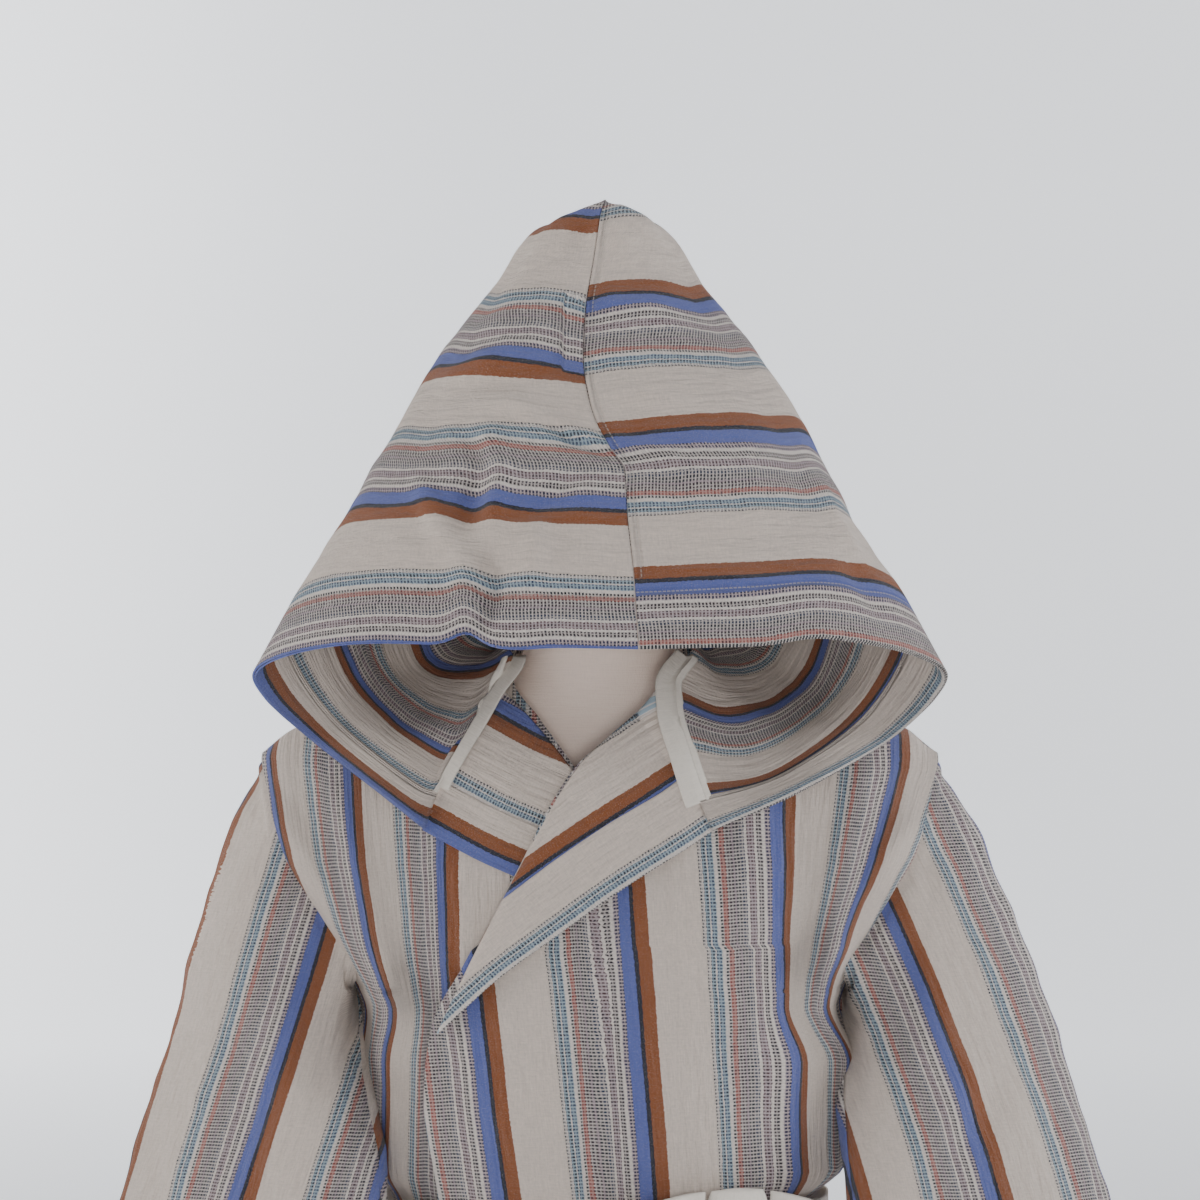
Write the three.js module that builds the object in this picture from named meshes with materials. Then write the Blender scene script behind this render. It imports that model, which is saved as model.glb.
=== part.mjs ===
// A hooded cotton bathrobe, tied with its belt, on a limbless dress form with a pole and a round base.
// Millimetres. The origin is on the floor under the pole, +Z is up and the front faces -Y.
// The wearer's left is +X. That front lies on top, wraps over the other and turns out into a lapel.
// Every cloth piece is a thin wall worked out from the tables of sections below.
import * as THREE from "three";

const CLOTH = 1.6; // thickness of the woven cotton
const SEAM_GAP = 0.6; // between two pieces along a seam

const YOKE_Z = 1230; // above this level the chest tube closes into the shoulders
const NECK = { x: 62, z: 1434 }; // where the shoulder ridge meets the neck seam
const SHOULDER = { x: 250, z: 1362 }; // the drop shoulder, where the ridge meets the sleeve
const NECK_RISE = 0.6; // how steeply the ridge line runs on up inside the neck
const UNDERARM_Z = 1195;
const HEM_Z = 335;
const BELT = { z: 1022, height: 42, thickness: 2.4, standOff: 12 };
const SQUARENESS = 2.6; // exponent of the body's oval sections: 2 is an ellipse

const ARMHOLE_SHARE = 0.955; // how far round the front the armhole seam runs

// Body sections: half width, depth to the front and depth to the back at each level.
const BODY = [
  { z: 1362, half: 262, front: 128, back: 112 },
  { z: 1300, half: 247, front: 128, back: 114 },
  { z: 1245, half: 214, front: 128, back: 116 },
  { z: 1200, half: 184, front: 127, back: 115 },
  { z: 1160, half: 170, front: 126, back: 112 },
  { z: 1120, half: 163, front: 124, back: 108 },
  { z: 1060, half: 156, front: 119, back: 103 },
  { z: 1022, half: 151, front: 114, back: 99 },
  { z: 975, half: 164, front: 122, back: 108 },
  { z: 900, half: 186, front: 138, back: 126 },
  { z: 700, half: 204, front: 152, back: 142 },
  { z: 335, half: 226, front: 168, back: 160 },
];

// Skirt folds run down from the belt: angle round the body in degrees, angular width and depth.
const SKIRT_FOLDS = [
  { at: -71, wide: 10, deep: 12 },
  { at: -40, wide: 9, deep: 14 },
  { at: -15, wide: 9, deep: 8 },
  { at: 12, wide: 9, deep: 10 },
  { at: 42, wide: 10, deep: 14 },
  { at: 70, wide: 9, deep: 11 },
  { at: 98, wide: 10, deep: 12 },
  { at: 128, wide: 10, deep: 15 },
  { at: 157, wide: 9, deep: 12 },
  { at: 186, wide: 10, deep: 15 },
  { at: 214, wide: 9, deep: 12 },
  { at: 243, wide: 10, deep: 14 },
  { at: 268, wide: 9, deep: 11 },
];

// Chest folds: a soft ridge from one point to the next, seen from the front.
const CHEST_FOLDS = [
  { x0: -232, z0: 1318, x1: -156, z1: 1200, wide: 15, deep: 12 },
  { x0: -156, z0: 1200, x1: -143, z1: 1060, wide: 13, deep: 12 },
  { x0: -196, z0: 1345, x1: -128, z1: 1150, wide: 13, deep: 7 },
  { x0: 222, z0: 1312, x1: 168, z1: 1225, wide: 14, deep: 12 },
  { x0: 168, z0: 1225, x1: 160, z1: 1060, wide: 12, deep: 11 },
  { x0: 190, z0: 1350, x1: 152, z1: 1190, wide: 12, deep: 6 },
];

// The edge of each front where it turns into the lapel and, lower down, its free edge.
const TOP_EDGE = [
  { z: 1434, x: 62 },
  { z: 1407, x: 41 },
  { z: 1360, x: -17 },
  { z: 1284, x: -60 },
  { z: 1220, x: -93 },
  { z: 1169, x: -116 },
  { z: 1119, x: -118 },
  { z: 1047, x: -110 },
  { z: 900, x: -112 },
  { z: 335, x: -120 },
];
const UNDER_EDGE = [
  { z: 1434, x: -62 },
  { z: 1424, x: -64 },
  { z: 1394, x: -44 },
  { z: 1360, x: -19 },
  { z: 1284, x: 28 },
  { z: 1230, x: 55 },
  { z: 1169, x: 84 },
  { z: 1047, x: 92 },
  { z: 900, x: 94 },
  { z: 335, x: 98 },
];

// Lapels: the roll line from the neck down, the outer edge beside it, both seen from the front.
const TOP_LAPEL = [
  { rollX: 42, rollZ: 1407, edgeX: 77, edgeZ: 1314 },
  { rollX: -17, rollZ: 1360, edgeX: 20, edgeZ: 1276 },
  { rollX: -60, rollZ: 1284, edgeX: -28, edgeZ: 1242 },
  { rollX: -93, rollZ: 1220, edgeX: -76, edgeZ: 1206 },
  { rollX: -117, rollZ: 1169, edgeX: -112, edgeZ: 1172 },
];
const UNDER_LAPEL = [
  { rollX: -61, rollZ: 1414, edgeX: -114, edgeZ: 1307 },
  { rollX: -44, rollZ: 1394, edgeX: -82, edgeZ: 1292 },
  { rollX: -19, rollZ: 1360, edgeX: -50, edgeZ: 1277 },
  { rollX: 4, rollZ: 1322, edgeX: -18, edgeZ: 1262 },
  { rollX: 26, rollZ: 1286, edgeX: 14, edgeZ: 1249 },
];

// How far the layers of the wrapped front stand off the body sections.
const LIFT = { underFront: 0, underLapel: 4, topFront: 9, topLapel: 14, lapelRoll: 2 };
const WRAP = { from: 96, to: 150 }; // the top front comes down to the sections between these x

// Each hood half, from its front edge (s = 0) to its back seam. m is on the centre seam,
// side the outline seen from the front, neck the neck seam. s is the fabric's way up in mm.
const HOOD = [
  {
    s: 0, lean: 27, m: [0, -205, 1446], front: [95, -203, 1448], bend: [185, -172, 1449],
    side: [245, -114, 1432], under: [242, -92, 1408], rest: [205, -56, 1374], lie: [142, -110, 1340],
  },
  {
    s: 55, lean: 24, m: [0, -187, 1500], front: [84, -183, 1503], bend: [166, -152, 1505],
    side: [215, -98, 1490], under: [214, -70, 1445], rest: [184, -58, 1396], lie: [124, -98, 1354],
  },
  {
    s: 110, lean: 14, m: [0, -162, 1553], front: [74, -157, 1556], bend: [140, -127, 1557],
    side: [180, -74, 1548], under: [190, -42, 1472], rest: [168, -40, 1412], lie: [112, -84, 1374],
  },
  {
    s: 165, lean: -4, m: [0, -132, 1605], front: [62, -128, 1611], bend: [116, -100, 1611],
    side: [151, -50, 1600], under: [166, -14, 1502], rest: [148, -14, 1426], lie: [100, -62, 1400],
  },
  {
    s: 220, lean: -8, m: [0, -98, 1657], front: [44, -95, 1663], bend: [84, -70, 1662],
    side: [109, -26, 1652], under: [138, 12, 1542], rest: [126, 14, 1446], lie: [88, -22, 1432],
  },
  {
    s: 275, lean: -3, m: [0, -62, 1708], front: [28, -58, 1712], bend: [54, -40, 1710],
    side: [72, -6, 1699], under: [100, 38, 1592], rest: [96, 52, 1476], lie: [80, 32, 1448],
  },
  {
    s: 318, lean: 1, m: [0, -31, 1763], front: [20, -27, 1764], bend: [36, -12, 1756],
    side: [47, 10, 1735], under: [58, 58, 1622], rest: [58, 76, 1504], lie: [52, 68, 1456],
  },
  {
    s: 342, lean: 2, m: [0, -4, 1775], front: [0.5, 6, 1773], bend: [0.5, 22, 1755],
    side: [0.5, 40, 1718], under: [0.5, 72, 1622], rest: [0.5, 90, 1522], lie: [0.5, 86, 1466],
  },
];
const HOOD_COLUMNS = ["m", "front", "bend", "side", "under", "rest", "lie"];
// The neck seam from the lapel (s = 0) up the tape and round to the nape.
const NECK_SEAM_TOP = [
  { s: 0, x: 78, z: 1314 },
  { s: 55, x: 65, z: 1340 },
  { s: 110, x: 53, z: 1366 },
  { s: 165, x: 44, z: 1390 },
  { s: 200, x: 42, z: 1407 },
];
const NECK_SEAM_UNDER = [
  { s: 0, x: 117, z: 1307 },
  { s: 55, x: 111, z: 1335 },
  { s: 110, x: 102, z: 1362 },
  { s: 165, x: 89, z: 1387 },
  { s: 200, x: 79, z: 1405 },
];
const NAPE = [
  { s: 240, x: 68, y: -26, z: 1438 },
  { s: 275, x: 64, y: 12, z: 1440 },
  { s: 318, x: 42, y: 58, z: 1438 },
  { s: 342, x: 0.5, y: 78, z: 1432 },
];

// Sleeve sections below the armhole: the outer and the inner side of each ring and its half
// depth. The wearer's left arm stands a little further from the body on the inner side.
const SLEEVE = [
  { outX: 274, outY: 2, outZ: 1318, inX: 190, inY: -40, inZ: 1168, deep: 55, left: 0 },
  { outX: 292, outY: 0, outZ: 1262, inX: 180, inY: -72, inZ: 1128, deep: 46, left: 5 },
  { outX: 318, outY: -4, outZ: 1160, inX: 168, inY: -100, inZ: 1072, deep: 38, left: 15 },
  { outX: 346, outY: -12, outZ: 1047, inX: 162, inY: -116, inZ: 1002, deep: 34, left: 26 },
  { outX: 370, outY: -18, outZ: 955, inX: 177, inY: -120, inZ: 915, deep: 31, left: 30 },
  { outX: 392, outY: -22, outZ: 876, inX: 197, inY: -116, inZ: 838, deep: 29, left: 30 },
];
// Folds across the sleeve: share of the way down, share round the ring, width and depth.
const SLEEVE_FOLDS = [
  { down: 0.22, round: 0.3, wide: 0.05, deep: 5 },
  { down: 0.5, round: 0.2, wide: 0.045, deep: 5 },
  { down: 0.7, round: 0.36, wide: 0.05, deep: 6 },
  { down: 0.6, round: 0.68, wide: 0.05, deep: 6 },
  { down: 0.8, round: 0.84, wide: 0.045, deep: 5 },
];

// The dress form, from its flat underside to the neck cap.
const FORM = [
  { z: 740, half: 164, front: 112, back: 112 },
  { z: 835, half: 166, front: 114, back: 114 },
  { z: 930, half: 146, front: 102, back: 100 },
  { z: 1022, half: 128, front: 94, back: 84 },
  { z: 1120, half: 142, front: 106, back: 90 },
  { z: 1210, half: 154, front: 114, back: 96 },
  { z: 1280, half: 174, front: 106, back: 96 },
  { z: 1325, half: 186, front: 88, back: 84 },
  { z: 1352, half: 178, front: 72, back: 68 },
  { z: 1378, half: 138, front: 62, back: 60 },
  { z: 1402, half: 92, front: 56, back: 58 },
  { z: 1422, half: 64, front: 53, back: 56 },
  { z: 1448, half: 56, front: 51, back: 54 },
  { z: 1490, half: 54, front: 50, back: 52 },
  { z: 1506, half: 50, front: 46, back: 48 },
  { z: 1516, half: 38, front: 35, back: 37 },
];
const FORM_TOP_Z = 1520;
const POLE_RADIUS = 13;
const BASE = { radius: 190, edge: 9, hub: 34, hubZ: 62 };

const COLOURS = {
  cloth: 0xd8d0c6, cream: 0xe0dad0, linen: 0xd2c4b2, stand: 0x2c2c2e,
};

// --- Sections -------------------------------------------------------------------------------

// A smooth value through a table's rows at key k. Past the ends the value stays the end row's.
function along(table, key, k, column) {
  const rising = table[0][key] < table[table.length - 1][key];
  const at = (i) => table[Math.min(Math.max(i, 0), table.length - 1)];
  let i = 0;
  while (i < table.length - 2 && (rising ? k > table[i + 1][key] : k < table[i + 1][key])) i++;
  const a = at(i), b = at(i + 1);
  const t = Math.min(Math.max((k - a[key]) / (b[key] - a[key]), 0), 1);
  const slope = (p, q, r) => {
    const before = q === p ? 0 : (q[column] - p[column]) / (q[key] - p[key]);
    const after = r === q ? 0 : (r[column] - q[column]) / (r[key] - q[key]);
    if (q === p) return after;
    if (r === q) return before;
    return before * after <= 0 ? 0 : (2 * before * after) / (before + after);
  };
  const h = b[key] - a[key];
  const m0 = slope(at(i - 1), a, b) * h, m1 = slope(a, b, at(i + 2)) * h;
  const t2 = t * t, t3 = t2 * t;
  return (2 * t3 - 3 * t2 + 1) * a[column] + (t3 - 2 * t2 + t) * m0
    + (-2 * t3 + 3 * t2) * b[column] + (t3 - t2) * m1;
}

const smooth = (t) => {
  const c = Math.min(Math.max(t, 0), 1);
  return c * c * (3 - 2 * c);
};
const mix = (a, b, t) => a + (b - a) * t;
const hump = (d, wide) => Math.exp(-((d / wide) ** 2));

// The shoulder line's height above a point at x from the middle.
function ridge(x) {
  const out = Math.abs(x);
  if (out < NECK.x) return NECK.z + NECK_RISE * (NECK.x - out);
  return NECK.z - ((out - NECK.x) * (NECK.z - SHOULDER.z)) / (SHOULDER.x - NECK.x);
}

// How deep an oval section is at x, as a share of its full depth.
function ovalShare(x, half) {
  const r = Math.min(Math.abs(x) / half, 1);
  return (1 - r ** SQUARENESS) ** (1 / SQUARENESS);
}

// Depth of the body's front or back sections at a point seen from the front, without folds.
function sectionDepth(x, z, which) {
  const level = Math.min(z, SHOULDER.z);
  const depth = along(BODY, "z", level, which) * ovalShare(x, along(BODY, "z", level, "half"));
  if (z <= YOKE_Z) return depth;
  const rise = Math.min((z - YOKE_Z) / (ridge(x) - YOKE_Z), 1);
  return depth * Math.sqrt(1 - rise * rise);
}

function chestFold(x, z) {
  let out = 0;
  for (const f of CHEST_FOLDS) {
    const dx = f.x1 - f.x0, dz = f.z1 - f.z0;
    const t = Math.min(Math.max(((x - f.x0) * dx + (z - f.z0) * dz) / (dx * dx + dz * dz), 0), 1);
    out += f.deep * hump(Math.hypot(x - f.x0 - t * dx, z - f.z0 - t * dz), f.wide);
  }
  return out;
}

// Depth of the folded front at a point seen from the front.
const frontDepth = (x, z) => sectionDepth(x, z, "front") + (z < 1400 ? chestFold(x, z) : 0);

// A point seen from the front at (x, z) that stands off the folded front by a distance.
function offFront(x, z, distance) {
  let px = x, pz = z;
  const n = new THREE.Vector3();
  for (let i = 0; i < 5; i++) {
    const here = frontDepth(px, pz);
    n.set(here - frontDepth(px + 2, pz), -2, here - frontDepth(px, pz + 2)).normalize();
    px = x - n.x * distance;
    pz = Math.min(z - n.z * distance, ridge(px) - 2);
  }
  return new THREE.Vector3(px, -frontDepth(px, pz), pz).addScaledVector(n, distance);
}

function skirtFold(degrees, z) {
  const grown = smooth((BELT.z - 12 - z) / 160);
  let out = 0;
  for (const f of SKIRT_FOLDS) {
    const d = ((degrees - f.at + 540) % 360) - 180;
    out += f.deep * hump(d, f.wide);
  }
  return out * grown;
}

// A point on the body sections at an angle: 0 is the middle of the front, 90 the wearer's left.
function bodyPoint(degrees, z, lift) {
  const a = THREE.MathUtils.degToRad(degrees);
  const s = Math.sin(a), c = Math.cos(a), power = 2 / SQUARENESS;
  const x = along(BODY, "z", z, "half") * Math.sign(s) * Math.abs(s) ** power;
  const which = c >= 0 ? "front" : "back";
  let y = -Math.sign(c) * along(BODY, "z", z, which) * Math.abs(c) ** power;
  if (c > 0) y -= chestFold(x, z) * smooth(c / 0.5);
  const out = new THREE.Vector3(s, -c, 0).multiplyScalar(skirtFold(degrees, z) + lift);
  return new THREE.Vector3(x, y, z).add(out);
}

// The angle round the section at level z where its front stands at x.
function angleAt(x, z) {
  const r = THREE.MathUtils.clamp(x / along(BODY, "z", z, "half"), -1, 1);
  return THREE.MathUtils.radToDeg(Math.asin(Math.sign(r) * Math.abs(r) ** (SQUARENESS / 2)));
}

// --- Walls ----------------------------------------------------------------------------------

// A closed wall from a grid of points on its outer face. Its thickness goes inwards, against
// the normals of the grid, which point out when rows run down and columns run to +X in front.
// Where flat names an axis, the thickness stays square to it, so that two pieces can meet there.
function wall(grid, thickness, { ring = false, flip = false, flat = () => "" } = {}) {
  const rows = grid.length, columns = grid[0].length;
  const side = flip ? -1 : 1;
  const next = (j) => (ring ? (j + 1) % columns : Math.min(j + 1, columns - 1));
  const before = (j) => (ring ? (j + columns - 1) % columns : Math.max(j - 1, 0));
  const positions = [];
  const inner = [];
  for (let i = 0; i < rows; i++)
    for (let j = 0; j < columns; j++) {
      const across = grid[i][next(j)].clone().sub(grid[i][before(j)]);
      const down = grid[Math.min(i + 1, rows - 1)][j].clone().sub(grid[Math.max(i - 1, 0)][j]);
      const normal = down.cross(across).multiplyScalar(side);
      if (flat(i, j)) normal[flat(i, j)] = 0;
      normal.normalize();
      const p = grid[i][j];
      positions.push(p.x, p.y, p.z);
      const q = p.clone().addScaledVector(normal, -thickness);
      inner.push(q.x, q.y, q.z);
    }
  const count = rows * columns;
  positions.push(...inner);
  const index = [];
  const quad = (a, b, c, d) => {
    if (flip) index.push(a, b, c, a, c, d);
    else index.push(a, c, b, a, d, c);
  };
  const at = (i, j) => i * columns + j;
  const last = ring ? columns : columns - 1;
  for (let i = 0; i < rows - 1; i++)
    for (let j = 0; j < last; j++) {
      const k = next(j);
      quad(at(i, j), at(i, k), at(i + 1, k), at(i + 1, j));
      quad(count + at(i + 1, j), count + at(i + 1, k), count + at(i, k), count + at(i, j));
    }
  for (let j = 0; j < last; j++) {
    const k = next(j), end = rows - 1;
    quad(at(0, k), at(0, j), count + at(0, j), count + at(0, k));
    quad(at(end, j), at(end, k), count + at(end, k), count + at(end, j));
  }
  if (!ring)
    for (let i = 0; i < rows - 1; i++) {
      const end = columns - 1;
      quad(at(i, 0), at(i + 1, 0), count + at(i + 1, 0), count + at(i, 0));
      quad(at(i + 1, end), at(i, end), count + at(i, end), count + at(i + 1, end));
    }
  const geometry = new THREE.BufferGeometry();
  geometry.setAttribute("position", new THREE.Float32BufferAttribute(positions, 3));
  geometry.setIndex(index);
  geometry.computeVertexNormals();
  return geometry;
}

// A solid closed at both ends, from rings of points listed downwards.
function lofted(rings) {
  const positions = [], index = [];
  const n = rings[0].length;
  for (const ring of rings) for (const p of ring) positions.push(p.x, p.y, p.z);
  for (let i = 0; i < rings.length - 1; i++)
    for (let j = 0; j < n; j++) {
      const a = i * n + j, b = i * n + ((j + 1) % n);
      index.push(a, a + n, b, b, a + n, b + n);
    }
  const middle = (ring) => {
    const c = ring.reduce((sum, p) => sum.add(p), new THREE.Vector3()).divideScalar(n);
    positions.push(c.x, c.y, c.z);
    return positions.length / 3 - 1;
  };
  const top = middle(rings[0]), bottom = middle(rings[rings.length - 1]);
  const start = (rings.length - 1) * n;
  for (let j = 0; j < n; j++) {
    const k = (j + 1) % n;
    index.push(top, j, k, bottom, start + k, start + j);
  }
  const geometry = new THREE.BufferGeometry();
  geometry.setAttribute("position", new THREE.Float32BufferAttribute(positions, 3));
  geometry.setIndex(index);
  geometry.computeVertexNormals();
  return geometry;
}

const grid = (rows, columns, point) =>
  Array.from({ length: rows + 1 }, (_, i) =>
    Array.from({ length: columns + 1 }, (_, j) => point(i / rows, j / columns, i)));

const object = new THREE.Group();
object.name = "hooded_bathrobe_on_dress_form";

function add(name, geometry, colour, metalness = 0) {
  const roughness = metalness ? 0.45 : 0.9;
  const material = new THREE.MeshStandardMaterial({ color: colour, roughness, metalness });
  const mesh = new THREE.Mesh(geometry, material);
  mesh.name = name;
  object.add(mesh);
}

// --- Fronts and back ------------------------------------------------------------------------

const PANEL_COLUMNS = 13;
const YOKE_ROWS = 8;
// The levels of a panel's rows below the yoke, closer together at the underarm and the belt.
const LEVELS = [
  YOKE_Z, 1212, UNDERARM_Z, 1172, 1140, 1100, 1058, BELT.z, 985, 935, 860, 760, 620, 480, HEM_Z,
];
const PANEL_ROWS = YOKE_ROWS + LEVELS.length - 1;

// A grid point's rise towards the shoulder ridge, from 1 there to 0 at the foot of the yoke.
const riseAt = (row) => Math.cos((row / YOKE_ROWS) * Math.PI / 2);

// The share of the half width where a panel ends: the armhole above, the side seam below.
const outerShare = (z) => mix(1, ARMHOLE_SHARE, smooth((z - UNDERARM_Z) / 22));

// How far the top front stands off the sections: it clears the under front where they wrap.
const topLift = (x) => LIFT.topFront * (1 - smooth((x - WRAP.from) / (WRAP.to - WRAP.from)));

const shoulderSeam = (i) => (i === 0 ? "y" : "");

// A front panel. side is 1 for the wearer's left, on top, and -1 for the right, under it.
function frontPoint(side, edge, row, across) {
  if (row < YOKE_ROWS) {
    const rise = riseAt(row);
    const zAt = (x) => YOKE_Z + (ridge(x) - YOKE_Z) * rise;
    let xIn = edge[0].x;
    for (let i = 0; i < 12; i++) xIn = mix(xIn, along(edge, "z", zAt(xIn), "x"), 0.7);
    let xOut = side * SHOULDER.x;
    for (let i = 0; i < 12; i++) xOut = side * (along(BODY, "z", zAt(xOut), "half")
      * outerShare(zAt(xOut)) - SEAM_GAP);
    const x = mix(xIn, xOut, across), z = zAt(x);
    const lift = (side > 0 ? topLift(x) : LIFT.underFront);
    return new THREE.Vector3(x, -frontDepth(x, z) - lift * (1 - rise ** 6), z);
  }
  const z = LEVELS[row - YOKE_ROWS];
  const from = angleAt(along(edge, "z", z, "x"), z);
  const share = outerShare(z);
  const to = side * (share > 0.999 ? 90 : angleAt(along(BODY, "z", z, "half") * share, z));
  const angle = mix(from, to - side * 0.13, across);
  const plain = bodyPoint(angle, z, 0);
  return bodyPoint(angle, z, side > 0 ? topLift(plain.x) : LIFT.underFront);
}

add("front_left", wall(grid(PANEL_ROWS, PANEL_COLUMNS,
  (v, u, row) => frontPoint(1, TOP_EDGE, row, u)), CLOTH, { flat: shoulderSeam }), COLOURS.cloth);
add("front_right", wall(grid(PANEL_ROWS, PANEL_COLUMNS,
  (v, u, row) => frontPoint(-1, UNDER_EDGE, row, 1 - u)), CLOTH, { flat: shoulderSeam }), COLOURS.cloth);

// The back, from one armhole and side seam round to the other.
function backPoint(row, across) {
  const side = 1 - 2 * across; // from the wearer's left to the right, so that it faces out
  if (row < YOKE_ROWS) {
    const rise = Math.min(riseAt(row), 0.99995);
    const at = (x) => YOKE_Z + (ridge(x) - YOKE_Z) * rise;
    let xEnd = SHOULDER.x;
    for (let i = 0; i < 12; i++)
      xEnd = along(BODY, "z", at(xEnd), "half") * outerShare(at(xEnd)) - SEAM_GAP;
    const x = side * xEnd;
    const dip = 1 - 0.2 * (1 - row / YOKE_ROWS) ** 2 * hump(x, 62); // the neck seam dips here
    const z = YOKE_Z + (ridge(x) - YOKE_Z) * rise * dip;
    return new THREE.Vector3(x, Math.max(sectionDepth(x, z, "back"), SEAM_GAP), z);
  }
  const z = LEVELS[row - YOKE_ROWS];
  const share = outerShare(z);
  const open = share > 0.999 ? 90 : angleAt(along(BODY, "z", z, "half") * share, z);
  return bodyPoint(180 - (open - 0.13) * side, z, 0);
}
add("back", wall(grid(PANEL_ROWS, 2 * PANEL_COLUMNS - 2,
  (v, u, row) => backPoint(row, u)), CLOTH, { flat: shoulderSeam }), COLOURS.cloth);

// --- Lapels ---------------------------------------------------------------------------------

const lapelRows = (table) => table.map((row, i) => ({ ...row, t: i / (table.length - 1) }));
const TOP_LAPEL_ROWS = lapelRows(TOP_LAPEL), UNDER_LAPEL_ROWS = lapelRows(UNDER_LAPEL);

// A lapel lies on its front, turned out along the roll line. down runs from the neck seam to the
// tip, and the first row follows that seam.
function lapelPoint(table, lift, down, across) {
  const x = mix(along(table, "t", down, "rollX"), along(table, "t", down, "edgeX"), across);
  const z = mix(along(table, "t", down, "rollZ"), along(table, "t", down, "edgeZ"), across);
  const seam = table === TOP_LAPEL_ROWS ? NECK_SEAM_TOP : NECK_SEAM_UNDER;
  const side = table === TOP_LAPEL_ROWS ? 1 : -1;
  const base = side > 0 ? LIFT.topFront : LIFT.underFront;
  const z0 = mix(table[0].rollZ, table[0].edgeZ, across);
  const bow = side * (along(seam, "z", z0, "x") - 2) - mix(table[0].rollX, table[0].edgeX, across);
  const turned = Math.sqrt(1 - (1 - Math.min(across / 0.16, 1)) ** 2);
  return offFront(x + bow * (1 - down) ** 3, z, mix(base + LIFT.lapelRoll, lift, turned));
}
add("lapel_left", wall(grid(14, 7, (v, u) => lapelPoint(
  TOP_LAPEL_ROWS, LIFT.topLapel, v, u)), CLOTH), COLOURS.cloth);
add("lapel_right", wall(grid(12, 7, (v, u) => lapelPoint(
  UNDER_LAPEL_ROWS, LIFT.underLapel, v, u)), CLOTH, { flip: true }), COLOURS.cloth);

// --- Hood -----------------------------------------------------------------------------------

// A uniform Catmull-Rom value through a list at t from 0 to 1.
function through(values, t) {
  const last = values.length - 1;
  const i = Math.min(Math.floor(t * last), last - 1), f = t * last - i;
  const a = i > 0 ? values[i - 1] : 2 * values[0] - values[1];
  const b = values[i], c = values[i + 1];
  const d = i + 2 <= last ? values[i + 2] : 2 * values[last] - values[last - 1];
  return 0.5 * (2 * b + (c - a) * f + (2 * a - 5 * b + 4 * c - d) * f * f
    + (3 * b - a - 3 * c + d) * f * f * f);
}

// Where the neck seam stands at s, for the half on that side.
function neckSeam(side, s) {
  const seam = side > 0 ? NECK_SEAM_TOP : NECK_SEAM_UNDER;
  const lift = side > 0 ? LIFT.topLapel : LIFT.underLapel;
  const low = seam.map((row) => ({ ...row, y: offFront(side * row.x, row.z, lift - CLOTH).y }));
  const rows = [...low, ...NAPE];
  const at = (column) => along(rows, "s", s, column);
  return [at("x"), at("y"), at("z")];
}

// A point of a hood half. up runs from the front edge to the back seam, round from the centre
// seam over the side to the neck seam.
function hoodPoint(side, up, round) {
  const s = up * HOOD[HOOD.length - 1].s;
  const columns = [...HOOD_COLUMNS.map((name) => [0, 1, 2].map((k) => {
    const rows = HOOD.map((row) => ({ s: row.s, value: row[name][k] }));
    return along(rows, "s", s, "value");
  })), neckSeam(side, s)];
  const at = (k) => through(columns.map((c) => c[k]), round);
  const lean = along(HOOD, "s", s, "lean") * (1 - smooth(round / 0.4));
  return new THREE.Vector3(side * (Math.max(at(0), 0) + SEAM_GAP / 2) + lean, at(1), at(2));
}
// The hood's outward normal there.
function hoodNormal(side, up, round) {
  const d = 0.004;
  const a = hoodPoint(side, up, Math.min(round + d, 1)).sub(hoodPoint(side, up, round - d));
  const b = hoodPoint(side, Math.min(up + d, 1), round).sub(hoodPoint(side, Math.max(up - d, 0), round));
  return a.cross(b).normalize().multiplyScalar(side);
}
const HOOD_ROWS = 15, HOOD_ROUND = 20;
for (const [name, side] of [["hood_left", 1], ["hood_right", -1]])
  add(name, wall(grid(HOOD_ROWS, HOOD_ROUND, (v, u) => hoodPoint(side, 1 - v, u)), CLOTH,
    { flip: side < 0, flat: (i, j) => (j === 0 || i === 0 ? "x" : "") }), COLOURS.cloth);

// A tape covers each neck seam: half of it lies on the hood and half on the lapel.
const TAPE = { half: 8, lift: 1.9, thickness: 1, from: 200, to: 36 };
function tapePoint(side, down, across) {
  const s = mix(TAPE.from, TAPE.to, down), up = s / 342;
  const seam = hoodPoint(side, up, 1);
  if (across < 0.4) {
    let round = 0.99;
    while (hoodPoint(side, up, round).distanceTo(seam) < TAPE.half && round > 0.8) round -= 0.002;
    const p = hoodPoint(side, up, round);
    return p.addScaledVector(hoodNormal(side, up, round), -CLOTH - TAPE.lift);
  }
  const below = neckSeam(side, Math.max(s - 3, 0)), above = neckSeam(side, s + 3);
  const way = new THREE.Vector2(side * (above[0] - below[0]), above[2] - below[2]).normalize();
  const off = across > 0.6 ? -side * TAPE.half : 0;
  const lift = (side > 0 ? LIFT.topLapel : LIFT.underLapel) + TAPE.lift;
  return offFront(seam.x + way.y * off, seam.z - way.x * off, lift);
}
for (const [name, side] of [["neck_tape_left", 1], ["neck_tape_right", -1]])
  add(name, wall(grid(12, 2, (v, u) => tapePoint(side, v, u)), TAPE.thickness,
    { flip: side > 0 }), COLOURS.cream);

// --- Sleeves --------------------------------------------------------------------------------

const SLEEVE_ROWS = 10, SLEEVE_ROUND = 22;
const sleeveRows = SLEEVE.map((row, i) => ({ ...row, t: i / (SLEEVE.length - 1) }));

const panelEnd = (z) => along(BODY, "z", z, "half") * outerShare(z);

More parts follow.
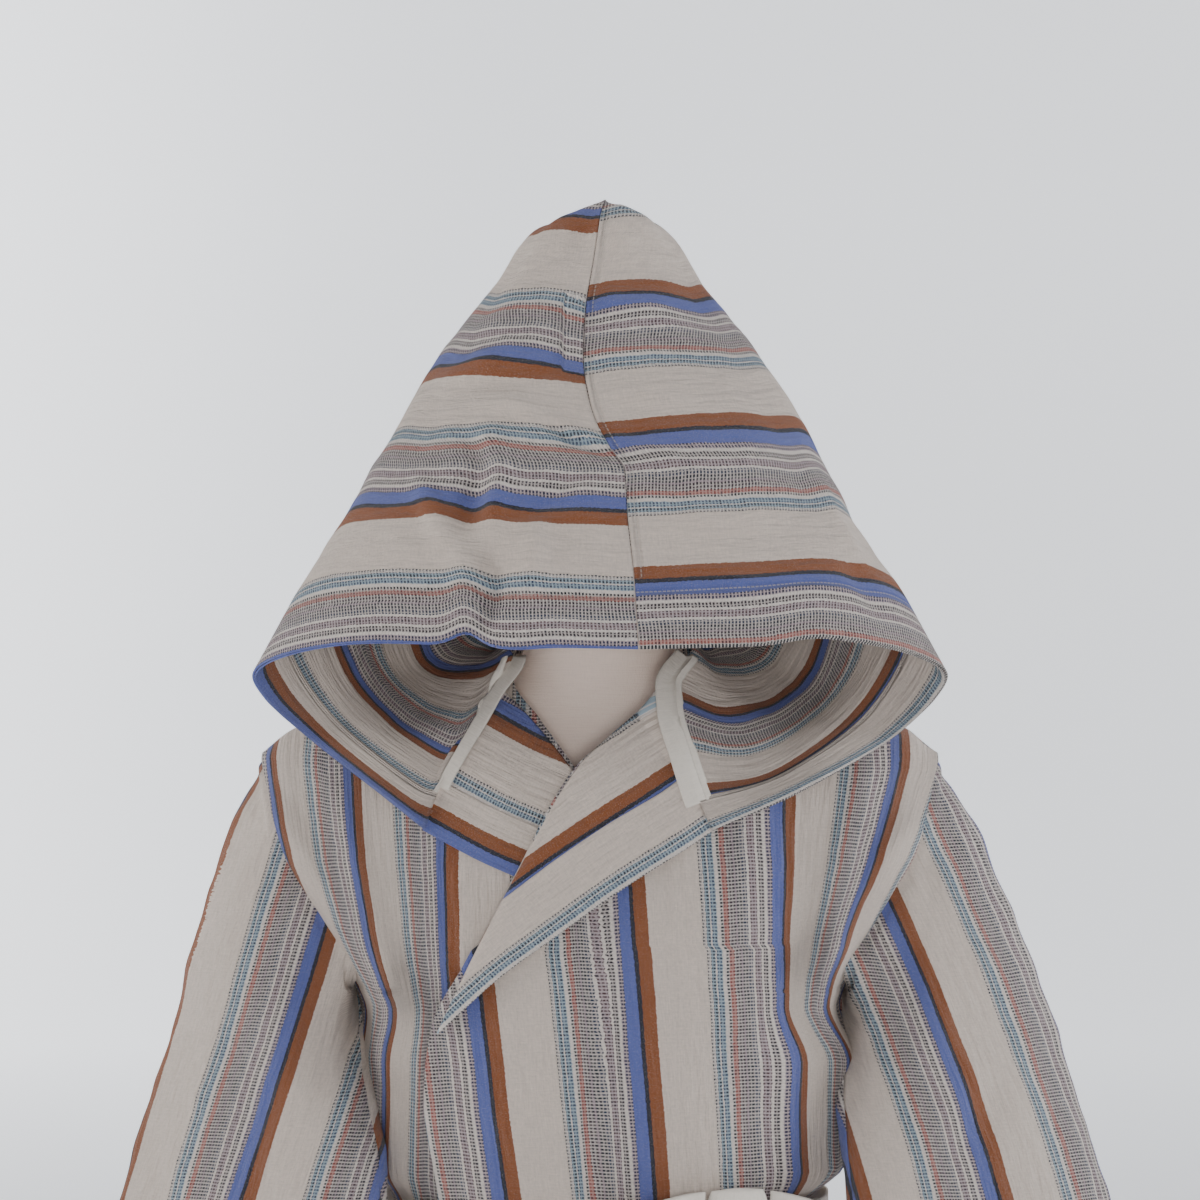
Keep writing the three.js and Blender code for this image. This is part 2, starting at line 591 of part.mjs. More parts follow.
// The armhole seam at an angle: 0 is the shoulder tip, 90 the front, 180 the underarm.
function armhole(side, a) {
  const low = UNDERARM_Z - 4;
  const z = mix(low, SHOULDER.z - 1, (1 + Math.cos(a)) / 2);
  const front = Math.sin(a) >= 0;
  const round = smooth((1 - Math.abs(Math.cos(a))) / 0.16);
  const x = along(BODY, "z", z, "half") * mix(1, outerShare(z), round) + 1.4;
  const depth = front ? frontDepth(side * (x - 4), z) : -sectionDepth(x - 4, z, "back");
  return new THREE.Vector3(side * x, -depth * Math.min(Math.abs(Math.sin(a)) * 3, 1), z);
}
function sleevePoint(side, down, round) {
  const a = round * 2 * Math.PI;
  const at = (column) => along(sleeveRows, "t", down, column);
  const outer = new THREE.Vector3(side * at("outX"), at("outY"), at("outZ"));
  const apart = side > 0 ? at("left") : 0;
  const inner = new THREE.Vector3(side * (at("inX") + apart), at("inY"), at("inZ"));
  const width = outer.clone().sub(inner).multiplyScalar(0.5);
  const centre = inner.clone().add(width);
  const flat = new THREE.Vector3(width.x, width.y, 0).normalize();
  const face = new THREE.Vector3(side * flat.y, -side * flat.x, 0);
  let deep = at("deep");
  for (const f of SLEEVE_FOLDS)
    deep += f.deep * hump(round - f.round, f.wide) * hump(down - f.down, 0.22);
  return centre.addScaledVector(width, Math.cos(a))
    .addScaledVector(face, deep * Math.sign(Math.sin(a)) * Math.abs(Math.sin(a)) ** 0.8);
}
function sleeveGrid(side) {
  const rows = [];
  for (let i = -2; i <= SLEEVE_ROWS; i++) {
    const row = [];
    for (let j = 0; j < SLEEVE_ROUND; j++) {
      const a = (j / SLEEVE_ROUND) * 2 * Math.PI;
      const first = sleevePoint(side, 0, j / SLEEVE_ROUND);
      let p = sleevePoint(side, i / SLEEVE_ROWS, j / SLEEVE_ROUND);
      if (i < 0) p = armhole(side, a).lerp(first, i === -2 ? 0 : 0.45);
      if (i < 1 && p.z > UNDERARM_Z) p.x = side * Math.max(side * p.x, panelEnd(p.z) + 2.3);
      row.push(p);
    }
    rows.push(row);
  }
  return rows;
}
for (const [name, side] of [["sleeve_left", 1], ["sleeve_right", -1]])
  add(name, wall(sleeveGrid(side), CLOTH, { ring: true, flip: side > 0 }), COLOURS.cloth);

// --- Belt -----------------------------------------------------------------------------------

const KNOT = { x: 86, width: 50, height: 74, depth: 18 };

// How far the belt stands out: it clears both fronts where they wrap.
function beltPoint(degrees, z) {
  return bodyPoint(degrees, BELT.z, BELT.standOff + LIFT.topFront * 0.6).setZ(z);
}
const beltRing = (z) => Array.from({ length: 48 }, (_, j) => beltPoint(j * 7.5, z));
add("belt_band", wall([BELT.height / 2, 0, -BELT.height / 2].map((up) => beltRing(BELT.z + up)),
  BELT.thickness, { ring: true }), COLOURS.cream);

// The knot sits on the band at KNOT.x: its place, the way along the band and the way out.
const beltFace = beltPoint(angleAt(KNOT.x, BELT.z), BELT.z);
const alongBelt = beltPoint(angleAt(KNOT.x + 8, BELT.z), BELT.z).sub(beltFace).normalize();
const offBelt = new THREE.Vector3(alongBelt.y, -alongBelt.x, 0);
const fromKnot = (sideways, out) => beltFace.clone()
  .addScaledVector(alongBelt, sideways).addScaledVector(offBelt, out + 0.7);

// A rounded block seen from the front, for the knot: rings from top to bottom.
function knotGeometry() {
  const rings = [];
  for (let i = 0; i <= 6; i++) {
    const t = (i / 6) * 2 - 1, swell = Math.sqrt(1 - 0.8 * t * t);
    rings.push(Array.from({ length: 14 }, (_, j) => {
      const a = (j / 14) * 2 * Math.PI;
      return fromKnot((KNOT.width / 2) * swell * Math.cos(a),
        (KNOT.depth / 2) * (1 + swell * Math.sin(a))).setZ(BELT.z - (KNOT.height / 2) * t);
    }));
  }
  return lofted(rings.map((ring) => ring.reverse()));
}
add("belt_knot", knotGeometry(), COLOURS.cream);

// A bow loop is a flat band turned back on itself. Its far end droops and follows the body.
const LOOPS = [
  { name: "belt_loop_left", side: 1, reach: 34, thick: 8 },
  { name: "belt_loop_right", side: -1, reach: 74, thick: 9 },
];
function loopPoint(loop, round, across) {
  const a = round * 2 * Math.PI, out = (1 - Math.cos(a)) / 2, s = Math.sin(a);
  const start = fromKnot(loop.side * (KNOT.width / 2 + 0.5), KNOT.depth / 2);
  const x = start.x + loop.side * loop.reach * out;
  const plump = loop.thick * Math.sign(s) * Math.abs(s) ** 0.7 * (0.45 + 0.55 * out);
  const band = beltPoint(angleAt(Math.min(x, 118), BELT.z), BELT.z).y;
  const y = mix(start.y, Math.min(band - 8 - loop.thick, start.y), smooth(out * 2.4));
  const middle = BELT.z + 13 - 34 * out * out * (loop.reach / 74);
  const high = mix(38, 50, Math.sin(Math.min(out, 0.6) * Math.PI));
  return new THREE.Vector3(x, y - plump, middle + high * (0.5 - across));
}
for (const loop of LOOPS) {
  const rows = Array.from({ length: 5 }, (_, i) =>
    Array.from({ length: 18 }, (_, j) => loopPoint(loop, j / 18, i / 4)));
  add(loop.name, wall(rows, BELT.thickness, { ring: true, flip: loop.side < 0 }), COLOURS.cream);
}

// The belt's two ends hang from the knot in front of the skirt.
function endPoint(side, down, across) {
  const TAIL = { length: side > 0 ? 330 : 290, width: 40, spread: 30, stand: 11 };
  const z = BELT.z - KNOT.height / 2 - 0.5 - TAIL.length * down;
  const middle = beltFace.x + side * (11 + TAIL.spread * smooth(down * 1.6));
  const wide = TAIL.width * mix(0.45, 1, smooth(down * 3));
  let level = 0;
  for (const dx of [-26, -13, 0, 13, 26])
    level = Math.min(level, bodyPoint(angleAt(middle + dx, z), z, topLift(middle + dx)).y);
  const from = fromKnot(side * 11, KNOT.depth / 2).y;
  const y = mix(from, Math.min(level - TAIL.stand, from + 4), smooth(down * 8));
  return new THREE.Vector3(middle + (across - 0.5) * wide, y, z);
}
for (const [name, side] of [["belt_end_left", 1], ["belt_end_right", -1]])
  add(name, wall(grid(12, 2, (v, u) => endPoint(side, v, u)), BELT.thickness), COLOURS.cream);

// --- Dress form -----------------------------------------------------------------------------

function formRing(row) {
  return Array.from({ length: 26 }, (_, j) => {
    const a = (j / 26) * 2 * Math.PI, s = Math.sin(a), c = Math.cos(a);
    const depth = c >= 0 ? row.front : row.back, power = 2 / 2.3;
    return new THREE.Vector3(row.half * Math.sign(s) * Math.abs(s) ** power,
      -depth * Math.sign(c) * Math.abs(c) ** power, row.z);
  });
}
const capRing = { z: FORM_TOP_Z, half: 14, front: 13, back: 13 };
add("form_torso", lofted([...FORM, capRing].reverse().map(formRing)), COLOURS.linen);

const pole = new THREE.CylinderGeometry(POLE_RADIUS, POLE_RADIUS,
  FORM[0].z - BASE.hubZ - 2 * 0.3, 20);
pole.rotateX(Math.PI / 2);
pole.translate(0, 0, (FORM[0].z + BASE.hubZ) / 2);
add("stand_pole", pole, COLOURS.stand, 0.3);

const profile = [
  [0, 0], [BASE.radius, 0], [BASE.radius, BASE.edge], [BASE.radius - 4, BASE.edge + 4],
  [60, BASE.edge + 12], [BASE.hub, BASE.edge + 18], [BASE.hub - 9, BASE.hubZ - 4],
  [BASE.hub - 12, BASE.hubZ], [0, BASE.hubZ],
].map(([r, z]) => new THREE.Vector2(r, z));
const base = new THREE.LatheGeometry(profile, 40);
base.rotateX(Math.PI / 2);
add("stand_base", base, COLOURS.stand, 0.3);

export default object;
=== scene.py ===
"""A hooded cotton bathrobe with its belt tied, on a linen-covered dress form with a pole and base.

Shapes are worked out in millimetres in the part's own frame (+Z up, the front faces -Y, the
wearer's left is +X) and turned into metres where the meshes are made.
"""
import functools
from itertools import accumulate
from math import asin, cos, degrees as to_degrees, dist, exp, hypot, pi, radians, sin, sqrt

import bmesh
import bpy
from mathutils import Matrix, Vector, noise


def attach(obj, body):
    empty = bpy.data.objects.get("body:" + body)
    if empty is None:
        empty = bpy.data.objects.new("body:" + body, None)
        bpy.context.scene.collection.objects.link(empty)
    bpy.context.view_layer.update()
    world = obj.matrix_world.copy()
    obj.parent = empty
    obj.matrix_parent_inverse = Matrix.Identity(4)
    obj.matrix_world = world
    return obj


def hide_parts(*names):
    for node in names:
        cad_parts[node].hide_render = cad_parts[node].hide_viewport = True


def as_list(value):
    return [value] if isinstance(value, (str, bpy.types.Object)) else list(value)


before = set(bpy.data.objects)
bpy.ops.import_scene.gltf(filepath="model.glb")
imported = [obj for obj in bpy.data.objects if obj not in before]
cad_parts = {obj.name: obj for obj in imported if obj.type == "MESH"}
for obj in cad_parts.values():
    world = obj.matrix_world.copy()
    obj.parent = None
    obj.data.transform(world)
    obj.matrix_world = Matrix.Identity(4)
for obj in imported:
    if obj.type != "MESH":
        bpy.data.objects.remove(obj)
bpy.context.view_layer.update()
DETAIL = 1.0

# --- Camera, light and room ---


def added(name, data):
    """A new object in the scene that holds the data."""
    made = bpy.data.objects.new(name, data)
    bpy.context.scene.collection.objects.link(made)
    return made


def make_camera():
    camera = added("camera", bpy.data.cameras.new("camera"))
    camera.data.lens = 150
    camera.data.sensor_width = 36
    camera.data.clip_end = 60
    camera.location = (0, -3.7, 1.479)
    camera.rotation_euler = (pi / 2, 0, 0)
    bpy.context.scene.camera = camera


def area_light(name, place, target, size, power, colour):
    data = bpy.data.lights.new(name, "AREA")
    data.shape, data.size, data.size_y = "RECTANGLE", size[0], size[1]
    data.energy, data.color = power, colour
    light = added(name, data)
    light.location = place
    light.rotation_euler = (Vector(target) - Vector(place)).to_track_quat("-Z", "Y").to_euler()


def make_light():
    area_light("key", (-3.7, -0.7, 2.6), (0, 0, 1.3), (1.6, 1.6), 84, (1, 0.98, 0.95))
    area_light("side", (3.7, -0.4, 2.3), (0, 0, 1.25), (1.8, 1.8), 92, (0.97, 0.98, 1))
    area_light("low_fill", (0.2, -6.0, 1.1), (0, 0, 1.4), (1.8, 1.2), 110, (1, 0.98, 0.96))
    area_light("back", (0.6, 3.4, 3.0), (0, 0, 1.2), (2.4, 2.0), 30, (0.97, 0.98, 1))
    world = bpy.data.worlds.new("soft_room")
    world.use_nodes = True
    background = world.node_tree.nodes["Background"]
    background.inputs["Color"].default_value = (0.93, 0.95, 1, 1)
    background.inputs["Strength"].default_value = 0.48
    bpy.context.scene.world = world


# --- Shader maths ---


class Value:
    """A node's output socket that Python's operators combine into Math nodes."""

    def __init__(self, tree, socket):
        self.tree, self.socket = tree, socket

    def math(self, operation, *others):
        values = dict(enumerate((self, *others)))
        return self.tree.node("Math", {"operation": operation}, values)

    def __add__(self, other):
        return self.math("ADD", other)

    def __mul__(self, other):
        return self.math("MULTIPLY", other)

    def __sub__(self, other):
        return self.math("SUBTRACT", other)

    def __truediv__(self, other):
        return self.math("DIVIDE", other)

    def __rsub__(self, other):
        return self.tree.node("Math", {"operation": "SUBTRACT"}, {0: other, 1: self})

    __radd__ = __add__
    __rmul__ = __mul__

    def above(self, level, blur=0.1):
        """1 where the value is over the level, 0 where it is under it, soft over blur."""
        return self.tree.node("MapRange", {"interpolation_type": "SMOOTHSTEP"}, {
            "Value": self, "From Min": level - blur, "From Max": level + blur})

    def between(self, low, high, blur=0.1):
        return self.above(low, blur) * (1 - self.above(high, blur))


class Finish:
    """A material's node tree, with one method that makes every node."""

    def __init__(self, name, slot, roughness, **constants):
        self.material = bpy.data.materials.new(name)
        self.material.use_nodes = True
        self.nodes = self.material.node_tree.nodes
        self.surface = self.nodes["Principled BSDF"]
        self.surface.inputs["Roughness"].default_value = roughness
        for socket, value in constants.items():
            self.surface.inputs[socket.replace("_", " ")].default_value = value
        self.slot = slot

    def node(self, kind, settings=None, inputs=None, output=0):
        made = self.nodes.new("ShaderNode" + kind)
        for key, value in (settings or {}).items():
            setattr(made, key, value)
        for key, value in (inputs or {}).items():
            self.feed(made.inputs[key], value)
        return Value(self, made.outputs[output])

    def object_place(self):
        return self.node("TexCoord", output="Object")

    def uv_place(self, name):
        """The x and y of a UV map."""
        return self.split(self.node("UVMap", {"uv_map": name}))[:2]

    def split(self, vector):
        """The x, y and z of a vector."""
        parts = self.node("SeparateXYZ", {}, {0: vector})
        return [Value(self, socket) for socket in parts.socket.node.outputs]

    def ramp(self, place, stops):
        """A crisp ramp over a share of the repeat: (start in mm, colour, strength) rows."""
        made = self.node("ValToRGB", {}, {0: place})
        ramp = made.socket.node.color_ramp
        ramp.interpolation = "CONSTANT"
        while len(ramp.elements) < len(stops):
            ramp.elements.new(0.5)
        for element, (start, colour, *strength) in zip(ramp.elements, stops):
            element.position = start / REPEAT
            element.color = (*colour, *(strength or [1]))
        return made

    def feed(self, socket, value):
        if isinstance(value, Value):
            self.material.node_tree.links.new(value.socket, socket)
        elif isinstance(value, tuple) and len(value) == 3 and len(socket.default_value) == 4:
            socket.default_value = (*value, 1)
        else:
            socket.default_value = value

    def blend(self, factor, first, second, mode="MIX"):
        """Mixes two colours. Its sockets are picked by index, since their names repeat."""
        settings = {"data_type": "RGBA", "blend_type": mode, "clamp_result": True}
        return self.node("Mix", settings, {0: factor, 6: first, 7: second}, 2)

    def tinted(self, colour, tone):
        """A colour made lighter or darker by a varying tone."""
        return self.blend(1.0, colour, self.vector(tone, tone, tone), "MULTIPLY")

    def noise(self, vector, scale=1.0, detail=2.0):
        return self.node("TexNoise", {"noise_dimensions": "3D"},
                         {"Vector": vector, "Scale": scale, "Detail": detail}, "Fac")

    def vector(self, x, y, z=0.0):
        return self.node("CombineXYZ", {}, {0: x, 1: y, 2: z})

    def finish(self, colour, height=None, strength=0.5, distance=0.001, roughness=None):
        self.feed(self.surface.inputs["Base Color"], colour)
        if roughness is not None:
            self.feed(self.surface.inputs["Roughness"], roughness)
        if height is not None:
            bump = self.node("Bump", {}, {
                "Strength": strength, "Distance": distance, "Height": height})
            self.feed(self.surface.inputs["Normal"], bump)
        return self


def srgb(red, green, blue):
    def linear(c):
        c /= 255
        return c / 12.92 if c <= 0.04045 else ((c + 0.055) / 1.055) ** 2.4
    return (linear(red), linear(green), linear(blue))


CREAM = srgb(220, 205, 192)
WHITE = srgb(230, 220, 212)
BLUE = srgb(90, 102, 170)
NAVY = srgb(30, 31, 46)
BROWN = srgb(140, 78, 38)
PALE_BLUE = srgb(168, 188, 200)
SALMON = srgb(214, 160, 148)
MAUVE = srgb(202, 184, 186)
GREY = srgb(212, 201, 195)

# The cloth's stripes across one repeat: where each starts in mm and its warp's colour.
REPEAT = 108.0
BAND_START, BAND_END = 37.0, 86.6  # the textured band
WARP = [
    (0.0, CREAM), (37.0, WHITE), (39.6, PALE_BLUE), (42.4, WHITE), (43.4, PALE_BLUE),
    (47.2, WHITE), (51.6, SALMON), (55.2, WHITE), (56.0, GREY), (59.6, MAUVE), (61.4, GREY),
    (68.4, WHITE), (70.4, MAUVE), (75.2, WHITE), (76.8, GREY), (80.6, WHITE), (83.0, MAUVE),
    (86.6, BLUE), (95.4, NAVY), (98.4, BROWN), (107.6, CREAM),
]
# The dashes that the weft floats over the textured band: where each row of them starts, its
# colour and how strong it is. A strength of 0 is a plain thread between two rows.
DASH = [
    (0.0, NAVY, 0), (37.0, NAVY, 1), (38.5, NAVY, 0), (39.6, srgb(40, 50, 66), 1),
    (42.4, NAVY, 0), (43.4, srgb(48, 66, 98), 0.85), (47.2, NAVY, 0),
    (49.4, srgb(26, 26, 36), 1), (51.6, srgb(140, 54, 48), 0.85),
    (55.2, srgb(48, 28, 40), 1), (59.6, srgb(64, 48, 62), 0.8),
    (61.4, srgb(28, 32, 44), 1), (65.0, srgb(40, 50, 76), 1), (68.4, NAVY, 0),
    (70.4, srgb(78, 48, 54), 0.92), (75.2, NAVY, 0), (76.8, srgb(40, 24, 32), 1),
    (80.6, NAVY, 0), (83.0, srgb(34, 32, 70), 1), (86.6, NAVY, 0),
]
DASH_GAP, DASH_PITCH = 2.25, 2.5  # between threads across the band, and dashes along it
RIB_PITCH, STITCH_PITCH = 1.1, 3.1


def cotton(name):
    """A cotton finish, the place across and down its cloth, a noise on that place, and ribs."""
    cloth = Finish(name, name, 0.88, Sheen_Weight=0.18, Sheen_Roughness=0.6,
                   Specular_IOR_Level=0.22)
    across, down = cloth.uv_place("cloth")

    def grain(x, y, z=0.0, detail=2.0):
        return cloth.noise(cloth.vector(across * x, down * y, z), 1.0, detail)
    wave = 2 * pi / RIB_PITCH
    return cloth, across, down, grain, (across * wave).math("SINE") * (down * wave).math("SINE")


def striped_cotton():
    """Handwoven cotton: plain cream, blue and brown stripes and a band of woven dashes."""
    cloth, across, down, grain, ribs = cotton("striped_cotton")
    wander, fray = grain(0.012, 0.012, detail=1.0) - 0.5, grain(0.55, 0.55) - 0.5
    u = across + wander * 2.6 + fray * 1.9
    v = down + (grain(0.03, 0.01, 7.0, 1.0) - 0.5) * 5.0
    band = u.math("FLOORED_MODULO", REPEAT) / REPEAT
    warp, dash = cloth.ramp(band, WARP), cloth.ramp(band, DASH)
    rows = Value(cloth, dash.socket.node.outputs["Alpha"])
    column, row = (u / DASH_GAP).math("FLOOR"), (v / DASH_PITCH).math("FLOOR")
    chance = cloth.node("TexWhiteNoise", {"noise_dimensions": "2D"},
                        {"Vector": cloth.vector(column, row)})
    streak = cloth.noise(cloth.vector(column * 3.7, down * 0.05))
    in_u = (u / DASH_GAP).math("FRACT").between(0.16, 0.84, 0.12)
    in_v = (v / DASH_PITCH).math("FRACT").between(0.2, 0.78, 0.1)
    textured = band.between(BAND_START / REPEAT, BAND_END / REPEAT, 0.001)
    dashes = in_v * rows * (0.66 + chance * 0.4 + streak * 0.4) * (in_u * 0.8 + 0.2)
    colour = cloth.blend(dashes, warp, cloth.blend(chance.above(0.8, 0.08) * 0.6, dash, NAVY))
    thread, weft, slub = grain(1.1, 0.09), grain(0.1, 1.2), grain(0.5, 0.5, 3.0, 3.0)
    colour = cloth.tinted(colour, 0.5 + thread * 0.3 + weft * 0.26 + slub * 0.28)
    off_seam, along_seam = cloth.uv_place("stitch")
    stitches = off_seam.between(-0.45, 0.45, 0.15) \
        * (along_seam / STITCH_PITCH).math("FRACT").between(0.14, 0.86, 0.06)
    pull = off_seam.between(-1.6, 1.6, 1.2)
    colour = cloth.blend(grain(1.6, 1.3, 11.0).above(0.63, 0.05) * 0.22, colour, WHITE)
    colour = cloth.blend(stitches * 0.5, colour, srgb(206, 196, 186))
    plain = 1 - textured
    height = grain(0.17, 0.022, detail=3.0) * (plain * 1.6 + 0.8) + ribs * 0.1 + thread * 0.2 \
        + slub * 0.35 + dashes * -0.4 + (1 - in_v) * textured * 0.3 + stitches * 0.5 - pull * 1.1
    return cloth.finish(colour, height, 0.95, 0.003)


def cream_cotton():
    """Plain cream binding and belt cloth with a clear cross rib."""
    cloth, _, _, grain, ribs = cotton("cream_cotton")
    thread = grain(0.12, 1.3)
    tone = 0.72 + thread * 0.18 + grain(1.2, 0.2) * 0.08 + grain(0.3, 0.4, 5.0, 3.0) * 0.14
    height = grain(0.06, 0.25, detail=3.0) * 1.2 + thread * 0.4 + ribs * 0.12
    return cloth.finish(cloth.tinted(srgb(222, 214, 202), tone), height, 0.6, 0.0011)


def linen_cover():
    """The dress form's cover: tight natural linen with slubs in both directions."""
    linen = Finish("linen_cover", "linen", 0.9, Sheen_Weight=0.12, Specular_IOR_Level=0.2)
    place = linen.object_place()
    x, y, z = linen.split(place)
    weft = linen.noise(linen.vector(x * 60, y * 60, z * 1500))
    warp = linen.noise(linen.vector(x * 1500, y * 1500, z * 60))
    tone = 0.9 + weft * 0.16 + warp * 0.12 + linen.noise(place, 9.0, 3.0) * 0.12
    return linen.finish(linen.tinted(srgb(244, 224, 210), tone), weft + warp, 0.5, 0.0006)


def black_enamel():
    """Satin enamel on steel, a little duller where hands and dust reach it."""
    enamel = Finish("black_enamel", "stand", 0.4, Coat_Weight=0.2, Coat_Roughness=0.3)
    place = enamel.object_place()
    cloud = enamel.noise(place, 14.0, 4.0)
    grain = enamel.noise(place, 900.0, 2.0)
    colour = enamel.blend(cloud, srgb(42, 42, 44), srgb(54, 54, 56))
    return enamel.finish(colour, grain, 0.25, 0.0004, cloud * 0.25 + 0.28)


def pale_plaster():
    """The room: a matt pale wall and floor. Its wall behind the robe glows as painted light,
    brightest towards the robe's right.
    """
    wall = Finish("pale_room", None, 0.95, Specular_IOR_Level=0.1, Emission_Strength=1.0)
    x, y, _ = wall.split(wall.object_place())
    # painted light: the wall glows, more the further it stands behind the robe, and more strongly
    # towards the robe's right
    painted_glow = y.above(7, 9) * (0.66 + (1 - x.above(-1.9, 1.7)) * 0.95)
    wall.feed(wall.surface.inputs["Emission Color"], wall.vector(painted_glow * 0.96, painted_glow * 0.975, painted_glow))
    return wall.finish((0.86, 0.87, 0.89)).material


# --- Sections and tables, in mm ---

YOKE_Z, HEM_Z, UNDERARM_Z, BELT_Z = 1230, 335, 1195, 1022
NECK_X, NECK_Z, SHOULDER_X, SHOULDER_Z = 62, 1434, 250, 1362
NECK_RISE, SQUARENESS, ARMHOLE_SHARE = 0.6, 2.6, 0.955
CLOTH, HEM_CLOTH, SEAM_GAP = 1.6, 1.1, 0.6

BODY = dict(
    z=[335, 700, 900, 975, 1022, 1060, 1120, 1160, 1200, 1245, 1300, 1362],
    half=[226, 204, 186, 164, 151, 156, 163, 170, 184, 214, 247, 262],
    front=[168, 152, 138, 122, 114, 119, 124, 126, 127, 128, 128, 128],
    back=[160, 142, 126, 108, 99, 103, 108, 112, 115, 116, 114, 112],
)
# Skirt folds: degrees round the body, width in degrees and depth.
SKIRT_FOLDS = [
    (-71, 10, 12), (-40, 9, 14), (-15, 9, 8), (12, 9, 10), (42, 10, 14), (70, 9, 11),
    (98, 10, 12), (128, 10, 15), (157, 9, 12), (186, 10, 15), (214, 9, 12), (243, 10, 14),
    (268, 9, 11),
]
# Chest folds, from one point to the next as seen from the front, with width and depth.
CHEST_FOLDS = [
    (-232, 1318, -156, 1200, 15, 12), (-156, 1200, -143, 1060, 13, 12),
    (-196, 1345, -128, 1150, 13, 7), (222, 1312, 168, 1225, 14, 12),
    (168, 1225, 160, 1060, 12, 11), (190, 1350, 152, 1190, 12, 6),
]
# The fronts' free edges and the lapels by side, 1 for the left one on top and -1 for the right
# one under it. A lapel has its roll line and its free edge, down from the neck. Then how far
# each layer is lifted.
SIDES = ((1, "left"), (-1, "right"))
FREE_EDGE = {
    1: dict(z=[335, 900, 1047, 1119, 1169, 1220, 1284, 1360, 1407, 1448],
            x=[-120, -112, -110, -118, -116, -93, -60, -17, 41, 62]),
    -1: dict(z=[335, 900, 1047, 1169, 1230, 1284, 1360, 1394, 1424, 1448],
             x=[98, 94, 92, 84, 55, 28, -19, -44, -64, -62]),
}
LAPEL = {
    1: dict(t=[0, 0.1, 0.25, 0.5, 0.75, 1], roll_x=[47, 32, -17, -60, -93, -117],
            roll_z=[1430, 1407, 1360, 1284, 1220, 1169], edge_x=[79, 58, 20, -28, -76, -112],
            edge_z=[1314, 1300, 1276, 1242, 1206, 1172]),
    -1: dict(t=[0, 0.1, 0.25, 0.5, 0.75, 1], roll_x=[-64, -56, -42, -17, 6, 28],
             roll_z=[1422, 1411, 1392, 1356, 1320, 1286], edge_x=[-124, -110, -84, -50, -18, 14],
             edge_z=[1314, 1306, 1292, 1277, 1262, 1249]),
}
FRONT_LIFT, LAPEL_LIFT, ROLL_LIFT = {1: 9, -1: 0}, {1: 14, -1: 4}, 2

# The hood half's sections from its free edge (s = 0) to its back seam. Each column is a line
# of the half: on the centre seam, over the front, round the side, then under it to the neck.
HOOD_S = [0, 55, 110, 165, 220, 275, 318, 342]
HOOD_DEEP = HOOD_S[-1]
HOOD_LEAN = dict(s=[0, 55, 94, 130, 147, 165, 185, 215, 255, 305, 342],
                 x=[27, 23.5, 19.5, 17.5, 7, -2, -8, -12, -10.5, -1.5, 4])
HOOD_LINES = dict(
    m=[(0, -205, 1446), (0, -187, 1500), (0, -162, 1553), (0, -132, 1605), (0, -98, 1657),
       (0, -62, 1710), (0, -31, 1763), (0, -4, 1775)],
    front=[(95, -203, 1448), (84, -183, 1503), (74, -157, 1556), (62, -128, 1611),
           (44, -95, 1663), (30, -58, 1714), (20, -27, 1764), (0.5, 6, 1773)],
    bend=[(185, -172, 1449), (166, -152, 1505), (140, -127, 1557), (116, -100, 1611),
          (92, -70, 1662), (63, -40, 1711), (32, -12, 1758), (0.5, 22, 1755)],
    side=[(245, -114, 1432), (215, -98, 1490), (180, -74, 1548), (151, -50, 1600),
          (121, -26, 1652), (81, -6, 1700), (46, 10, 1739), (0.5, 40, 1718)],
    under=[(242, -92, 1408), (214, -70, 1445), (190, -42, 1472), (166, -14, 1502),
           (138, 12, 1542), (100, 38, 1592), (58, 58, 1622), (0.5, 72, 1622)],
    rest=[(205, -56, 1374), (184, -58, 1396), (168, -40, 1412), (148, -14, 1426),
          (126, 14, 1446), (96, 52, 1476), (58, 76, 1504), (0.5, 90, 1522)],
    lie=[(142, -110, 1340), (124, -98, 1354), (112, -84, 1374), (100, -62, 1400),
         (88, -22, 1432), (80, 32, 1448), (52, 68, 1456), (0.5, 86, 1466)],
)
NECK_SEAM = {
    1: dict(s=[0, 38, 90, 140, 170], x=[79, 70, 59, 50, 49], z=[1314, 1334, 1368, 1400, 1418]),
    -1: dict(s=[0, 38, 80, 130, 165], x=[126, 117, 104, 88, 78],
             z=[1314, 1346, 1371, 1398, 1416]),
}
NAPE = dict(s=[205, 240, 275, 318, 342], x=[63, 69, 66, 42, 0.5], y=[-64, -28, 12, 58, 78],
            z=[1438, 1446, 1446, 1440, 1434])

# A sleeve's outer and inner edge from the armhole to the cuff, how much further out the left
# one's are, and half its depth.
SLEEVE = dict(
    t=[0, 0.2, 0.4, 0.6, 0.8, 1], deep=[55, 46, 38, 34, 31, 29],
    out_x=[268, 284, 314, 349, 374, 391], out_left=[0, 9, 21, 21, 14, 0],
    out_y=[2, 0, -4, -12, -18, -22], out_z=[1318, 1262, 1160, 1047, 955, 876],
    in_x=[182, 171, 159, 154, 170, 192], in_left=[0, 7, 21, 32, 35, 33],
    in_y=[-40, -72, -100, -116, -120, -116], in_z=[1168, 1128, 1072, 1002, 915, 838],
)
# Folds across a sleeve: share of the way down, share round, width and depth.
SLEEVE_FOLDS = [(0.22, 0.3, 0.05, 5), (0.5, 0.2, 0.045, 5), (0.7, 0.36, 0.05, 6),
                (0.6, 0.68, 0.05, 6), (0.8, 0.84, 0.045, 5)]

FORM = dict(
    z=[740, 835, 930, 1022, 1120, 1210, 1280, 1325, 1352, 1378, 1402, 1422, 1448, 1490, 1506,
       1516, 1520],
    half=[164, 166, 146, 128, 142, 154, 174, 186, 178, 138, 92, 64, 56, 54, 50, 38, 14],
    front=[112, 114, 102, 94, 106, 114, 106, 88, 72, 62, 56, 53, 51, 50, 46, 35, 13],
    back=[112, 114, 100, 84, 90, 96, 96, 84, 68, 60, 58, 56, 54, 52, 48, 37, 13],
)


